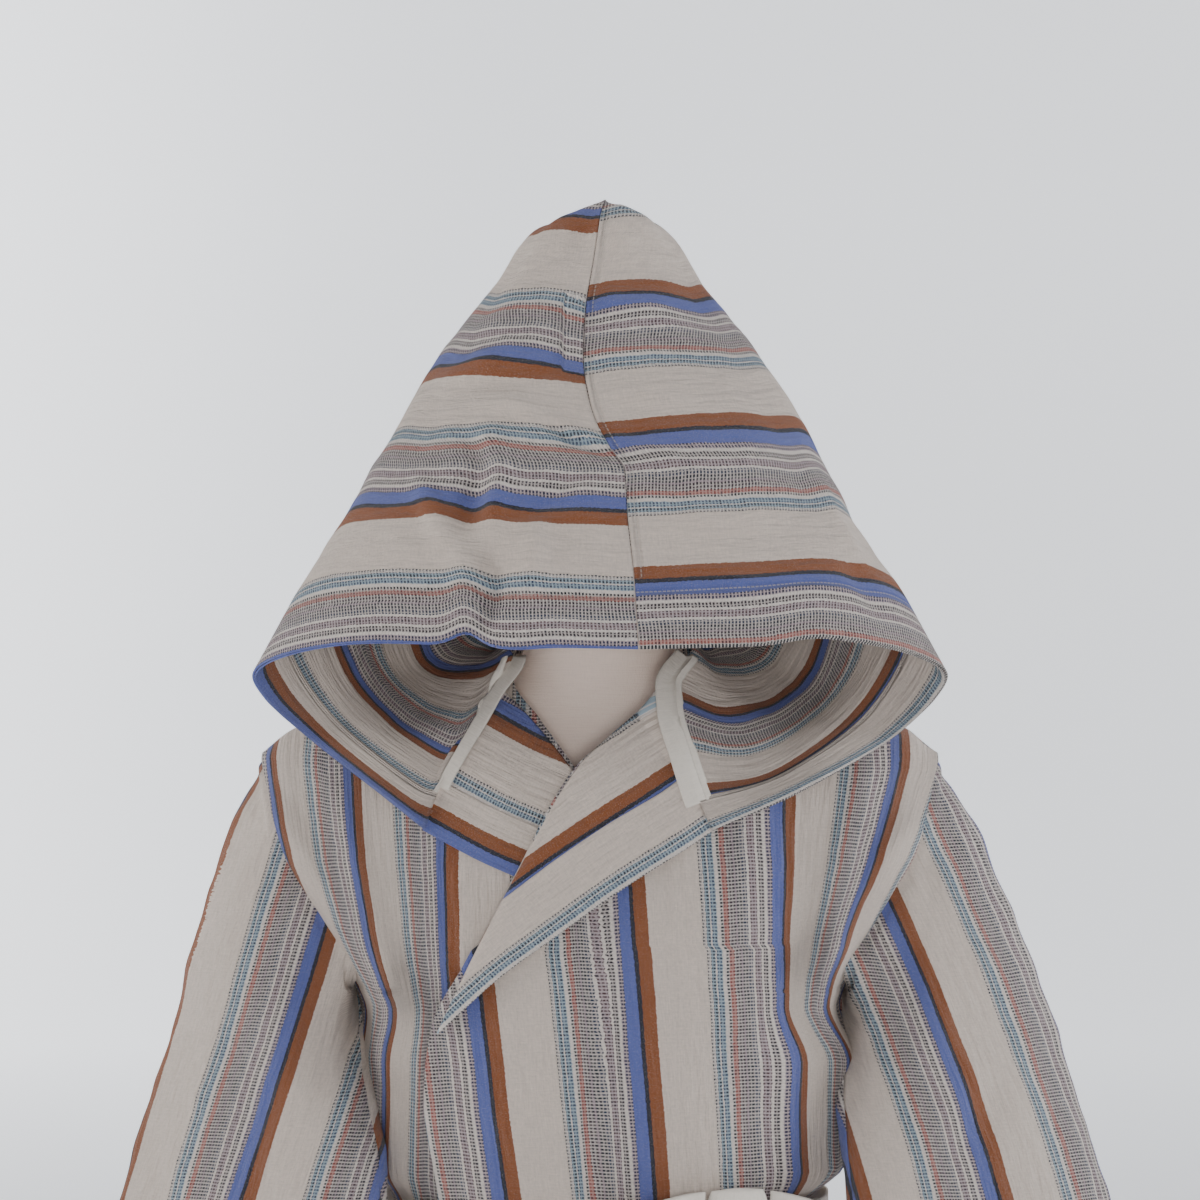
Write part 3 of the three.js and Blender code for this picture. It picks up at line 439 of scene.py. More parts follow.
def clamp(t, low=0, high=1):
    return min(max(t, low), high)


def along(table, k, column):
    """A smooth monotone value of a column where a table's first column is k, held at its
    ends."""
    keys, values = next(iter(table.values())), table[column]
    last = len(keys) - 1
    i = 0
    while i < last - 1 and k > keys[i + 1]:
        i += 1
    h = keys[i + 1] - keys[i]
    t = clamp((k - keys[i]) / h)

    def secant(j):
        return (values[j + 1] - values[j]) / (keys[j + 1] - keys[j])

    def slope(j):
        if j == 0:
            return secant(0)
        if j == last:
            return secant(last - 1)
        before, after = secant(j - 1), secant(j)
        return 0 if before * after <= 0 else 2 * before * after / (before + after)

    m0, m1 = slope(i) * h, slope(i + 1) * h
    t2, t3 = t * t, t * t * t
    return ((2 * t3 - 3 * t2 + 1) * values[i] + (t3 - 2 * t2 + t) * m0
            + (-2 * t3 + 3 * t2) * values[i + 1] + (t3 - t2) * m1)


def half_width(z):
    return along(BODY, z, "half")


def smooth(t):
    t = clamp(t)
    return t * t * (3 - 2 * t)


def mix(a, b, t):
    return a + (b - a) * t


def hump(d, wide):
    return exp(-((d / wide) ** 2))


def sign(value):
    return -1 if value < 0 else 1


def outward(side, u):
    """A grid's share u, counted the same way on either side of the body."""
    return u if side > 0 else 1 - u


def off_stretch(x, z, x0, z0, x1, z1):
    """How far a place is from a straight stretch, and the share of the stretch it is beside."""
    dx, dz = x1 - x0, z1 - z0
    t = clamp(((x - x0) * dx + (z - z0) * dz) / (dx * dx + dz * dz))
    return hypot(x - x0 - t * dx, z - z0 - t * dz), t


def ridge(x):
    """The height of the shoulder seam, which stands up a little beside the neck and is full
    beside the sleeve, with its corner rounded off."""
    out = abs(x)
    more = 14 * smooth((92 - out) / 28)
    more += 13 * smooth((out - 130) / 90) - 9 * smooth((out - 226) / 26)
    if out < NECK_X:
        return NECK_Z + NECK_RISE * (NECK_X - out) + more
    return NECK_Z + more - (out - NECK_X) * (NECK_Z - SHOULDER_Z) / (SHOULDER_X - NECK_X)


def section_depth(x, z, which):
    level = min(z, SHOULDER_Z)
    r = min(abs(x) / half_width(level), 1)
    depth = along(BODY, level, which) * (1 - r ** SQUARENESS) ** (1 / SQUARENESS)
    if z <= YOKE_Z:
        return depth
    rise = min((z - YOKE_Z) / (ridge(x) - YOKE_Z), 1)
    return depth * sqrt(1 - rise * rise)


def chest_fold(x, z):
    return sum(deep * hump(off_stretch(x, z, *line)[0], wide)
               for *line, wide, deep in CHEST_FOLDS)


def front_depth(x, z):
    return section_depth(x, z, "front") + (chest_fold(x, z) if z < 1400 else 0)


def off_front(x, z, distance):
    """A point seen from the front at (x, z) that stands off the folded front."""
    px, pz = x, z
    for _ in range(5):
        here = front_depth(px, pz)
        n = Vector((here - front_depth(px + 2, pz), -2, here - front_depth(px, pz + 2)))
        n.normalize()
        px = x - n.x * distance
        pz = min(z - n.z * distance, ridge(px) - 2)
    return Vector((px, -front_depth(px, pz), pz)) + n * distance


def skirt_fold(degrees, z):
    grown = smooth((BELT_Z - 12 - z) / 160)
    return grown * sum(deep * hump((degrees - at + 540) % 360 - 180, wide)
                       for at, wide, deep in SKIRT_FOLDS)


def body_point(degrees, z, lift):
    """A point on the body sections: 0 degrees is the middle of the front, 90 the left side."""
    a = radians(degrees)
    s, c, power = sin(a), cos(a), 2 / SQUARENESS
    x = half_width(z) * sign(s) * abs(s) ** power
    y = -sign(c) * along(BODY, z, "front" if c >= 0 else "back") * abs(c) ** power
    if c > 0:
        y -= chest_fold(x, z) * smooth(c / 0.5)
    stand = skirt_fold(degrees, z) + lift
    return Vector((x + s * stand + blouse(x, z), y - c * stand, z))


def blouse(x, z):
    """How far the body's cloth puffs out over the belt at each side."""
    full = smooth((1188 - z) / 46) * smooth((z - 1036) / 30)
    return sign(x) * (24 if x > 0 else 9) * full * smooth((abs(x) - 96) / 60)


def angle_at(x, z):
    r = clamp(x / half_width(z), -1)
    return to_degrees(asin(sign(r) * abs(r) ** (SQUARENESS / 2)))


def armhole_share(z):
    return mix(1, ARMHOLE_SHARE, smooth((z - UNDERARM_Z) / 22))


def panel_end(z):
    return half_width(z) * armhole_share(z)


def top_lift(x):
    return FRONT_LIFT[1] * (1 - smooth((x - 96) / 54))


# --- Cloth pieces ---


RIPPLES = ((4.2, 74, 0), (2.3, 31, 9), (0.8, 13, 17))  # height and size in mm, place in noise


def ripple(p, seed):
    """A soft unevenness of the cloth's surface at a point, in mm."""
    total = 0
    for height, size, more in RIPPLES:
        q = p * (1 / size)
        total += height * noise.noise(Vector((q.x + seed + more, q.y, q.z * 0.8)))
    return total


def grid(across, down):
    """A new grid, with the place of each of its points as two shares."""
    bm = bmesh.new()
    bmesh.ops.create_grid(bm, x_segments=across, y_segments=down, size=1.0)
    return bm, {vert: (clamp(vert.co.x / 2 + 0.5), clamp(vert.co.y / 2 + 0.5))
                for vert in bm.verts}


def lay_out(bm, name, places):
    """A UV map that has each point at its place."""
    layer = bm.loops.layers.uv.new(name)
    for face in bm.faces:
        for loop in face.loops:
            loop[layer].uv = places[loop.vert]


NO_STITCH = (40, 0)  # far from every row of stitches


def cloth_sheet(name, across, down, point, weave, material, node=(), thickness=CLOTH,
                ring=False, flip=False, stir=1.0, seed=0.0, calm=None, stitch=None):
    """A sheet of cloth from a grid: point(u, v) gives its outer face in mm, or that and the
    same place before it was draped, and weave(u, v, p) the place in the cloth, both with v
    running up. stir scales its small unevenness, and so does calm(u, v) from place to place.
    stitch(u, v, p) gives how far a place is from a row of stitches and its way along it."""
    bm, spots = grid(max(int(across * DETAIL), 4), max(int(down * DETAIL), 3))
    woven, sewn = {}, {}
    for vert, (u, v) in spots.items():
        made = point(u, v)
        p, plain = made if isinstance(made, tuple) else (made, made)
        woven[vert] = weave(u, v, plain)
        sewn[vert] = stitch(u, v, p) if stitch else NO_STITCH
        vert.co = p
    lay_out(bm, "cloth", woven)
    lay_out(bm, "stitch", sewn)
    if flip:
        bmesh.ops.reverse_faces(bm, faces=bm.faces)
    bm.normal_update()
    if stir:
        moved = {vert: stir * (calm(u, v) if calm else 1) * ripple(vert.co, seed)
                 for vert, (u, v) in spots.items()}
        for vert, amount in moved.items():
            vert.co += vert.normal * amount
    if ring:
        bmesh.ops.remove_doubles(bm, verts=bm.verts, dist=0.02)
    return finished(bm, name, material, node, thickness)


def linked(bm, name, material):
    """A smooth object in the scene from a mesh in metres."""
    mesh = bpy.data.meshes.new(name)
    bm.to_mesh(mesh)
    bm.free()
    mesh.materials.append(material)
    mesh.polygons.foreach_set("use_smooth", [True] * len(mesh.polygons))
    return added(name, mesh)


def finished(bm, name, material, node, thickness):
    """A piece from a mesh in mm, riding the body and the node it replaces."""
    bmesh.ops.scale(bm, vec=(0.001, 0.001, 0.001), verts=bm.verts)
    piece = linked(bm, name, material.material)
    if thickness:
        wall = piece.modifiers.new("cloth_thickness", "SOLIDIFY")
        wall.thickness, wall.offset = thickness / 1000, -1
    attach(piece, "root")
    if node:
        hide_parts(*node)
    return piece


def closed_piece(bm, name, material, node, near=0.02):
    """A piece from a closed skin, with its seams and poles merged and its faces outward."""
    bmesh.ops.remove_doubles(bm, verts=bm.verts, dist=near)
    bmesh.ops.recalc_face_normals(bm, faces=bm.faces)
    return finished(bm, name, material, [node], 0)


def arc_front(x, z):
    """The way round a front section from its middle to x, signed, in mm."""
    half, deep = half_width(z), along(BODY, z, "front")
    total, last, steps = 0, (0, deep), 24
    for i in range(1, steps + 1):
        r = min(abs(x) / half, 1) * i / steps
        here = (half * r, deep * (1 - r ** SQUARENESS) ** (1 / SQUARENESS))
        total += dist(last, here)
        last = here
    return sign(x) * total


# A table of arc_front, worked out once: its rows stand ARC_STEP apart up the body and its
# columns are spread evenly by angle.
ARC_ROWS, ARC_COLUMNS, ARC_STEP = 51, 30, 20.5
ARC_SHARE = [sin(i / ARC_COLUMNS * pi / 2) ** (2 / SQUARENESS)
             for i in range(ARC_COLUMNS + 1)]
ARCS = [[arc_front(share * half_width(z), z) for share in ARC_SHARE]
        for z in (HEM_Z + ARC_STEP * i for i in range(ARC_ROWS + 1))]


def arc_length(x, z):
    """arc_front looked up in its table."""
    level = min(z, SHOULDER_Z)
    row = clamp((level - HEM_Z) / ARC_STEP, 0, ARC_ROWS - 0.001)
    share = min(abs(x) / half_width(level), 1)
    turn = asin(share ** (SQUARENESS / 2)) / (pi / 2)
    column = min(turn * ARC_COLUMNS, ARC_COLUMNS - 0.001)
    i, j = int(row), int(column)
    a, b = (mix(arcs[j], arcs[j + 1], column - j) for arcs in ARCS[i:i + 2])
    return sign(x) * mix(a, b, row - i)


# By side, the share of the cloth that shows where the drape gathers it, and how far the
# stripes of the top front lean over the stretch between two heights.
DRAPE = {"z": [335, 1000, 1022, 1184, 1205, 1234, 1263, 1299, 1324, 1356],
         -1: [1, 1, 0.6, 0.45, 0.5, 0.55, 0.58, 0.62, 0.64, 0.66],
         1: [1, 1, 0.6, 0.42, 0.44, 0.48, 0.56, 0.66, 0.74, 0.84]}
STRIPE_LEAN = dict(x=[-120, -80, 35, 130, 250], lean=[0.14, 0.13, 0.075, 0.03, 0])
LEAN_TOP, LEAN_END = 1155, 1040
# By side: the way round at which the drape starts, and the stripe in the middle of the front.
DRAPED_FROM, MIDDLE_STRIPE = {1: 132, -1: 110}, {1: 67, -1: 101}


def front_weave(side):
    def weave(u, v, p):
        way = side * arc_length(p.x, p.z)
        hold = DRAPED_FROM[side]
        if way > hold:
            way = hold + (way - hold) / along(DRAPE, p.z, side)
        lean = along(STRIPE_LEAN, p.x, "lean") * (LEAN_TOP - max(p.z, LEAN_END))
        return (side * way + MIDDLE_STRIPE[side] - (lean if side > 0 else 0), -p.z)
    return weave


YOKE_SHARE = 0.62  # the share of a panel's rows that lie under the yoke


def panel_row(v):
    """A panel row's height up to the yoke, its share of the yoke and its rise over that."""
    up = max(v - YOKE_SHARE, 0) / (1 - YOKE_SHARE)
    level = mix(HEM_Z, YOKE_Z, min(v / YOKE_SHARE, 1) ** 0.8)
    return level, up, sin(up * pi / 2)


def panel_reach(x, z, seam):
    """The angle of a panel's outer edge: the side seam's, or where the armhole cuts it."""
    return seam if armhole_share(z) > 0.999 else angle_at(x, z)


def column_x(angle, z_at, x):
    """Where a column at an angle crosses a row whose height depends on x."""
    s = sin(radians(angle))
    for _ in range(4):
        x = half_width(z_at(x)) * sign(s) * abs(s) ** (2 / SQUARENESS)
    return x


def front_point(side):
    """The front's outer face, its columns spread evenly in angle from its free edge (u = 0 on
    the left front) to the side seam or the armhole, rows from the hem to the shoulder."""
    edge = FREE_EDGE[side]

    def point(u, v):
        level, _, rise = panel_row(v)

        def z_at(x):
            return level + (ridge(x) - level) * rise
        x_in, x_out = edge["x"][-1], side * SHOULDER_X
        for _ in range(10 if rise else 1):
            x_in = mix(x_in, along(edge, z_at(x_in), "x"), 0.7 if rise else 1)
            x_out = side * (panel_end(z_at(x_out)) - SEAM_GAP)
        share = outward(side, u)
        angle = mix(angle_at(x_in, z_at(x_in)),
                    panel_reach(x_out, z_at(x_out), side * 89.95), share)
        x = column_x(angle, z_at, mix(x_in, x_out, share))
        z = z_at(x)
        lift = top_lift(x) if side > 0 else FRONT_LIFT[side]
        if not rise:
            return body_point(angle, z, lift), Vector((x, 0, z))
        if share in (0, 1):
            x = x_out if share else x_in
            z = z_at(x)
        return Vector((x, -front_depth(x, z) - lift * (1 - rise ** 6), z)), Vector((x, 0, z))
    return point


def make_front(side, name, across, seed, stir, material):
    return cloth_sheet(name, across, 210, front_point(side), front_weave(side), material, [name],
                       seed=seed, stir=stir, stitch=panel_stitch,
                       calm=lambda u, v: smooth((1 - outward(side, u)) / 0.1))


# The hood's seam across the nape, from the middle outwards.
NAPE_ROWS = {axis: NAPE[axis][:1:-1] for axis in "xyz"}


def back_point(u, v):
    """The back's outer face: columns from the wearer's left to the right, rows upwards."""
    side = 1 - 2 * u
    level, up, rise = panel_row(v)
    rise = min(rise, 0.99995)

    def z_at(x):
        return level + (ridge(x) - level) * rise * (1 - 0.2 * up * up * hump(x, 62))
    x_end = SHOULDER_X
    for _ in range(10 if rise else 1):
        x_end = panel_end(z_at(x_end)) - SEAM_GAP
    angle = panel_reach(x_end, z_at(x_end), 89.87) * side
    x = column_x(angle, z_at, x_end * side)
    z = z_at(x)
    if not rise:
        return body_point(180 - angle, level, 0), Vector((x, 0, z))
    p = Vector((x, max(section_depth(x, z, "back"), SEAM_GAP), z))
    if up > 0.6 and abs(x) < 90:
        nape = Vector((x, *(along(NAPE_ROWS, abs(x), axis) for axis in "yz")))
        p = p.lerp(nape, smooth((up - 0.6) / 0.4) * (1 - smooth((abs(x) - 60) / 12)))
    return p, Vector((x, 0, z))


def make_back(material):
    return cloth_sheet("back", 190, 190, back_point,
                       lambda u, v, p: (arc_length(p.x, p.z) + 20, -p.z), material, ["back"],
                       seed=3.0, stir=0.8, stitch=panel_stitch,
                       calm=lambda u, v: smooth(min(u, 1 - u) / 0.06))


def panel_stitch(u, v, p):
    """The row of stitches by the hem, and the pull of the seam beside the armhole."""
    if p.z > UNDERARM_Z + 8:
        return panel_end(min(p.z, SHOULDER_Z)) - abs(p.x), p.z * 1.1
    return p.z - HEM_Z - SKIRT_HEM, p.x


def lapel_place(side, down, across):
    """A place on a lapel seen from the front, across from the roll line to the free edge."""
    def at(axis, t):
        return mix(*(along(LAPEL[side], t, line + axis) for line in ("roll_", "edge_")), across)
    seam = side * (along(NECK_SEAM[side], seam_at(side, at("z", 0)), "x") + 1.5)
    return at("x", down) + (seam - at("x", 0)) * (1 - down) ** 3, at("z", down)


def seam_at(side, z):
    """The way up the neck seam where it stands at a height."""
    low, high = 0.0, 200.0
    for _ in range(14):
        middle = (low + high) / 2
        if along(NECK_SEAM[side], middle, "z") < z:
            low = middle
        else:
            high = middle
    return low


def lapel_point(side, extra=0.0):
    def point(u, v):
        across, down = outward(side, u), 1 - v
        turned = sqrt(1 - (1 - min(across / 0.16, 1)) ** 2)
        lift = mix(FRONT_LIFT[side] + ROLL_LIFT, LAPEL_LIFT[side], turned)
        return off_front(*lapel_place(side, down, across), lift + extra)
    return point


def from_line(x, z, line):
    """The distance in mm from a place seen from the front to a line of points, and the way
    along the line to the point nearest to it."""
    best, passed = (1e9, 0), 0
    for a, b in zip(line, line[1:]):
        d, t = off_stretch(x, z, *a, *b)
        best = min(best, (d, passed + t * dist(a, b)))
        passed += dist(a, b)
    return best


def inner_stripe(side, d):
    """The place in the cloth at a distance in from the free edge, past the turned hem."""
    return d + 50.5 if side > 0 else 87.5 - d


def hem_stripe(side, d):
    return 50.5 - d if side > 0 else 87.5 + d


def through(values, t):
    """A uniform Catmull-Rom value through a list at t from 0 to 1."""
    last = len(values) - 1
    i = min(int(t * last), last - 1)
    f = t * last - i
    a = values[i - 1] if i > 0 else 2 * values[0] - values[1]
    b, c = values[i], values[i + 1]
    d = values[i + 2] if i + 2 <= last else 2 * values[last] - values[last - 1]
    return 0.5 * (2 * b + (c - a) * f + (2 * a - 5 * b + 4 * c - d) * f * f
                  + (3 * b - a - 3 * c + d) * f * f * f)


@functools.cache
def neck_rows(side):
    """The hood's seam up the front's neck edge and across the nape, as one table."""
    seam, lift = NECK_SEAM[side], LAPEL_LIFT[side] - CLOTH
    depths = [off_front(side * x, z, lift).y for x, z in zip(seam["x"], seam["z"])]
    rows = dict(seam, y=depths)
    return {column: rows[column] + NAPE[column] for column in "sxyz"}


def neck_seam(side, s):
    return [along(neck_rows(side), s, axis) for axis in "xyz"]


HEM_WIDE = {1: 42, -1: 38}
HOOD_TABLES = [{"s": HOOD_S, **dict(zip("xyz", zip(*rows)))} for rows in HOOD_LINES.values()]
# Waves of the hood's free edge over the face: height, place from the middle and width.
EDGE_WAVES = ((8, -94, 13), (-2, -60, 20), (4, 150, 26))


@functools.cache
def hood_row(side, s):
    """Where the hood's lines and its neck seam cross the section at s, in the half's own x."""
    rows = [[along(table, s, axis) for axis in "xyz"] for table in HOOD_TABLES]
    if side < 0:
        rows[-1][2] -= 13 * (1 - smooth(s / 70))  # this half lies lower at its free edge
    return [Vector(row) for row in (*rows, neck_seam(side, s))]


def hood_point(side, s, share):
    """share runs from the centre seam over the side to the neck seam."""
    p = through(hood_row(side, s), share)
    lean = along(HOOD_LEAN, s, "x") * (1 - smooth(share / 0.4))
    x = side * (max(p.x, 0) + SEAM_GAP / 2) + lean
    edge = (1 - smooth(s / 64)) * (1 - smooth((share - 0.3) / 0.1))
    wave = sum(high * hump(x - at, wide) for high, at, wide in EDGE_WAVES)
    return Vector((x, p.y + 5 * edge * hump(x + 94, 14), p.z + wave * edge))


def hood_normal(side, s, share):
    d = 0.004
    a = hood_point(side, s, min(share + d, 1)) - hood_point(side, s, max(share - d, 0))
    b = hood_point(side, min(s + 2, HOOD_DEEP), share) - hood_point(side, max(s - 2, 0), share)
    return a.cross(b).normalized() * side


@functools.cache
def row_lengths(side, s):
    """How far round the hood each of 41 places lies from the centre seam at s."""
    places = [hood_point(side, s, i / 40) for i in range(41)]
    return list(accumulate(((b - a).length for a, b in zip(places, places[1:])), initial=0))


def row_way(side, s, share):
    lengths, k = row_lengths(side, round(s / 3) * 3), min(share * 40, 39.999)
    return mix(lengths[int(k)], lengths[int(k) + 1], k - int(k))


# Creases of each hood half: side, from and to (mm up the hood, mm out from the centre seam),
# width in mm and depth.
HOOD_CREASES = [
    (-1, 164, 44, 141, 2, 6, -3.2), (-1, 172, 60, 150, 4, 9, 3.4), (-1, 150, 84, 84, 96, 9, 3.2),
    (-1, 146, 102, 80, 116, 8, -2.6), (-1, 112, 150, 66, 130, 9, 3.0), (-1, 96, 60, 40, 74, 9, 2.2),
    (-1, 60, 96, 8, 108, 8, -3.6), (-1, 70, 118, 12, 124, 10, 3.2), (-1, 126, 34, 92, 70, 8, -1.8),
    (-1, 210, 60, 196, 120, 10, 2.4), (-1, 196, 30, 186, 110, 8, -1.8),
    (-1, 250, 40, 236, 90, 9, 1.6), (-1, 304, 6, 286, 34, 7, -1.8),
    (1, 150, 6, 120, 60, 9, 2.6), (1, 122, 30, 96, 120, 11, -2.0), (1, 84, 20, 100, 130, 12, 2.0),
    (1, 190, 8, 176, 70, 9, 2.2), (1, 230, 20, 216, 96, 10, -1.8), (1, 50, 30, 34, 130, 10, 1.6),
    (1, 262, 8, 246, 60, 9, 1.8), (1, 306, 4, 290, 30, 7, 1.6), (1, 60, 160, 20, 190, 12, -2.4),
    (1, 132, 150, 60, 176, 12, 2.4),
]
CREASE_DEPTH = {1: 1.7, -1: 2.2}
# A tuck beside the centre seam of the right half.
TUCK = dict(low=198, high=266, wide=16, deep=1.7)


def hood_crease(side, s, out):
    """How far the creases lift the hood's outer face at a place out from the centre seam."""
    lift = 0
    for which, s0, out0, s1, out1, wide, deep in HOOD_CREASES:
        if which == side:
            d, t = off_stretch(s, out, s0, out0, s1, out1)
            fade = 1 - 0.6 * abs(2 * t - 1) ** 3
            lift += CREASE_DEPTH[side] * deep * fade * hump(d, wide)
    return lift + TUCK["deep"] * tucked(side, s, out)


def tucked(side, s, out):
    if side > 0:
        return 0
    return (smooth((s - TUCK["low"]) / 5) * smooth((TUCK["high"] - s) / 8)
            * smooth((TUCK["wide"] - out) / 1.6))


def creased_point(side, s, share, inside=0.0):
    """A place on the hood with its creases, inside mm under the outer face."""
    calm = mix(0.4, 1, smooth(share / 0.02)) * smooth((1 - share) / 0.05)
    lift = hood_crease(side, s, row_way(side, s, share)) * (1 - smooth((share - 0.4) / 0.1))
    return hood_point(side, s, share) + hood_normal(side, s, share) * (lift * calm - inside)


def make_hood(side, name, material):
    def place(u, v):
        return v * HOOD_DEEP, outward(side, u)

    def point(u, v):
        return creased_point(side, *place(u, v))

    def woven(u, v, p):
        s, share = place(u, v)
        way = row_way(side, s, share)
        return (inner_stripe(side, s) - 4.5 * tucked(side, s, way), way)

    def calm(u, v):
        s, share = place(u, v)
        return (smooth(share / 0.05) * smooth((1 - share) / 0.08) * smooth((1 - v) / 0.05)
                * smooth((s - HEM_WIDE[side] - 4) / 24))

    def stitch(u, v, p):
        s, share = place(u, v)
        way = row_way(side, s, share)
        if s > HEM_WIDE[side] + 6 and way < 30 and side > 0:
            return way - 5, s
        return s - HEM_WIDE[side] + 3, way
    return cloth_sheet(name, 160, 145, point, woven, material, [name], seed=side * 3.0,
                       calm=calm, stir=0.9, stitch=stitch)


def make_hood_hem(side, name, material):
    """The free edge turned in and stitched down, which shows on the inside of the hood."""
    wide = HEM_WIDE[side]

    def point(u, v):
        turn = smooth(min(v, 0.06) / 0.06) * (1 - smooth((v - 0.93) / 0.07) * 0.9)
        lift = CLOTH + 0.35 + 1.3 * turn
        return creased_point(side, max(mix(wide, -0.9, v), 0), outward(side, u), lift)

    def woven(u, v, p):
        s = mix(wide, 0, v)
        return (hem_stripe(side, s), row_way(side, s, outward(side, u)))

    def stitch(u, v, p):
        return mix(3, 3 - wide, v), woven(u, v, p)[1]
    return cloth_sheet(name, 160, 18, point, woven, material, thickness=HEM_CLOTH, flip=True,
                       seed=side * 3.0, stir=0, stitch=stitch)


def lapel_weave(side, stripe):
    """The cloth's place from the distance to the free edge, a line seen from the front."""
    line = [lapel_place(side, i / 24, 1) for i in range(25)]

    def woven(u, v, p):
        d, way = from_line(p.x, p.z, line)
        return (stripe(side, d), way)
    return woven


def make_lapel(side, name, material):
    return cloth_sheet(name, 70, 90, lapel_point(side), lapel_weave(side, inner_stripe), material,
                       [name], seed=5.0, calm=lambda u, v: smooth(min(u, 1 - u) / 0.2) * 0.22)


def make_lapel_hem(side, name, material):
    place = lapel_point(side, 1.5)

    def point(u, v):
        full = dist(lapel_place(side, 1 - v, 0), lapel_place(side, 1 - v, 1))
        share = 1 - (1 - outward(side, u)) * min(HEM_WIDE[side] / max(full, 1) * 1.04, 1)
        return place(outward(side, share), v)
    return cloth_sheet(name, 26, 90, point, lapel_weave(side, hem_stripe), material,
                       thickness=HEM_CLOTH, stir=0)


TAPE_WIDE = 19


def make_tape(side, name, material):
    """A binding over the neck seam, half of it on the hood's inside and half on the lapel."""
    def point(u, v):
        s = mix(37, 206, v)
        seam = hood_point(side, s, 1)
        across = 1 - outward(side, u)
        lift = 1.6 + 0.7 * sqrt(max(1 - (2 * across - 1) ** 4, 0))
        reach = TAPE_WIDE / 2 * (1 - 2 * across)
        if reach > 0:
            share = 0.99
            while (hood_point(side, s, share) - seam).length < reach:
                share -= 0.002
            share = 1 if reach <= 0.5 else share
            return hood_point(side, s, share) - hood_normal(side, s, share) * (CLOTH + lift)
        below, above = neck_seam(side, max(s - 3, 0)), neck_seam(side, s + 3)
        way = Vector((side * (above[0] - below[0]), above[2] - below[2])).normalized()
        return off_front(seam.x + way.y * side * reach, seam.z - way.x * side * reach,
                         LAPEL_LIFT[side] + lift)
    return cloth_sheet(name, 16, 60, point, lambda u, v, p: (u * 17, v * 110), material, [name],
                       thickness=1.0, stir=0.15)


def sleeve_point(side, down, share):
    def at(column):
        return along(SLEEVE, down, column)

    def edge(name):
        apart = at(name + "_left") if side > 0 else 0
        return Vector((side * (at(name + "_x") + apart), at(name + "_y"), at(name + "_z")))
    outer, inner = edge("out"), edge("in")
    width = (outer - inner) / 2
    a = share * 2 * pi
    flat = Vector((width.x, width.y, 0)).normalized()
    face = Vector((side * flat.y, -side * flat.x, 0))
    deep = at("deep") + sum(high * hump(share - round_at, wide) * hump(down - at_share, 0.22)
                            for at_share, round_at, wide, high in SLEEVE_FOLDS)
    s = sin(a)
    return inner + width + width * cos(a) + face * (deep * sign(s) * abs(s) ** 0.8)


def armhole(side, a):
    """The sleeve's upper edge, tucked under the panels' edges."""
    up, s = (1 + cos(a)) / 2, sin(a)
    z = mix(UNDERARM_Z - 4, ridge(SHOULDER_X) - 3.4, up)
    close = smooth(up / 0.08)
    x = half_width(z) * mix(1, armhole_share(z), close) - 6 * close
    depth = front_depth(side * x, z) if s >= 0 else -section_depth(x, z, "back")
    inward = mix(1, (abs(depth) - 3.2) / max(abs(depth), 4), close)
    return Vector((side * x, -depth * min(abs(s) * 3, 1) * inward, z))


# How far out each sleeve's outer edge is, by side, from the cuff up to the shoulder.
OUTER_EDGE = {"z": SLEEVE["out_z"][::-1] + [SHOULDER_Z], -1: SLEEVE["out_x"][::-1] + [251]}
OUTER_EDGE[1] = [x + more for x, more in zip(OUTER_EDGE[-1], SLEEVE["out_left"][::-1] + [0])]


def sleeve_way(p, side, share):
    """The way round a sleeve from its outer edge to a place, level, in mm of cloth."""
    a = share * 2 * pi
    turn = smooth(abs(sin(a)) / 0.6) if cos(a) > 0 else 1
    way = 1.07 * max(along(OUTER_EDGE, p.z, side) - side * p.x, 0) + 17 * turn
    return -way if share > 0.5 else way


SLEEVE_LONG, CUFF_HEM, SKIRT_HEM = 560, 32, 30


def make_sleeve(side, name, material):
    """The grid starts and ends on the inner edge, where the sleeve's seam is."""
    def share_at(u):
        share = (outward(-side, u) + 0.5) % 1
        return 0.50001 if share == 0.5 and (u < 0.5) == (side < 0) else share

    def point(u, v):
        share, down = share_at(u), 1 - v
        a = share * 2 * pi
        p = sleeve_point(side, max(down - 0.04, 0) / 0.96, share)
        if down < 0.3:
            p = armhole(side, a).lerp(p, smooth(down / 0.3) ** 0.8)
        if down > 0.03 and p.z > UNDERARM_Z:
            p.x = side * max(side * p.x, panel_end(p.z) + mix(-4, 3, smooth(down / 0.06)))
        if 0 < down < 0.3 and cos(a) > 0:
            head = 6 * smooth(down / 0.2) * smooth((0.3 - down) / 0.15)
            p.x += side * head * cos(a)
        return p

    def woven(u, v, p):
        way = sleeve_way(p, side, share_at(u))
        return (203 - way if side > 0 else 91 + way, -p.z * 1.06)
    return cloth_sheet(name, 140, 130, point, woven, material, [name], ring=True,
                       seed=side * 11.0, calm=lambda u, v: smooth((1 - v) / 0.1),
                       stitch=lambda u, v, p: (v * SLEEVE_LONG - CUFF_HEM, u * 300))


# --- Belt ---

BELT = dict(high=42, round=950, thick=2.4, off=12, end_wide=40)
KNOT = dict(x=86, wide=50, high=74, deep=18)


def belt_point(degrees, z):
    p = body_point(degrees, BELT_Z, BELT["off"] + FRONT_LIFT[1] * 0.6)
    return Vector((p.x, p.y, z))


BELT_FACE = belt_point(angle_at(KNOT["x"], BELT_Z), BELT_Z)
ALONG = (belt_point(angle_at(KNOT["x"] + 8, BELT_Z), BELT_Z) - BELT_FACE).normalized()
OFF = Vector((ALONG.y, -ALONG.x, 0))


def from_knot(sideways, out):
    return BELT_FACE + ALONG * sideways + OFF * (out + 0.7)


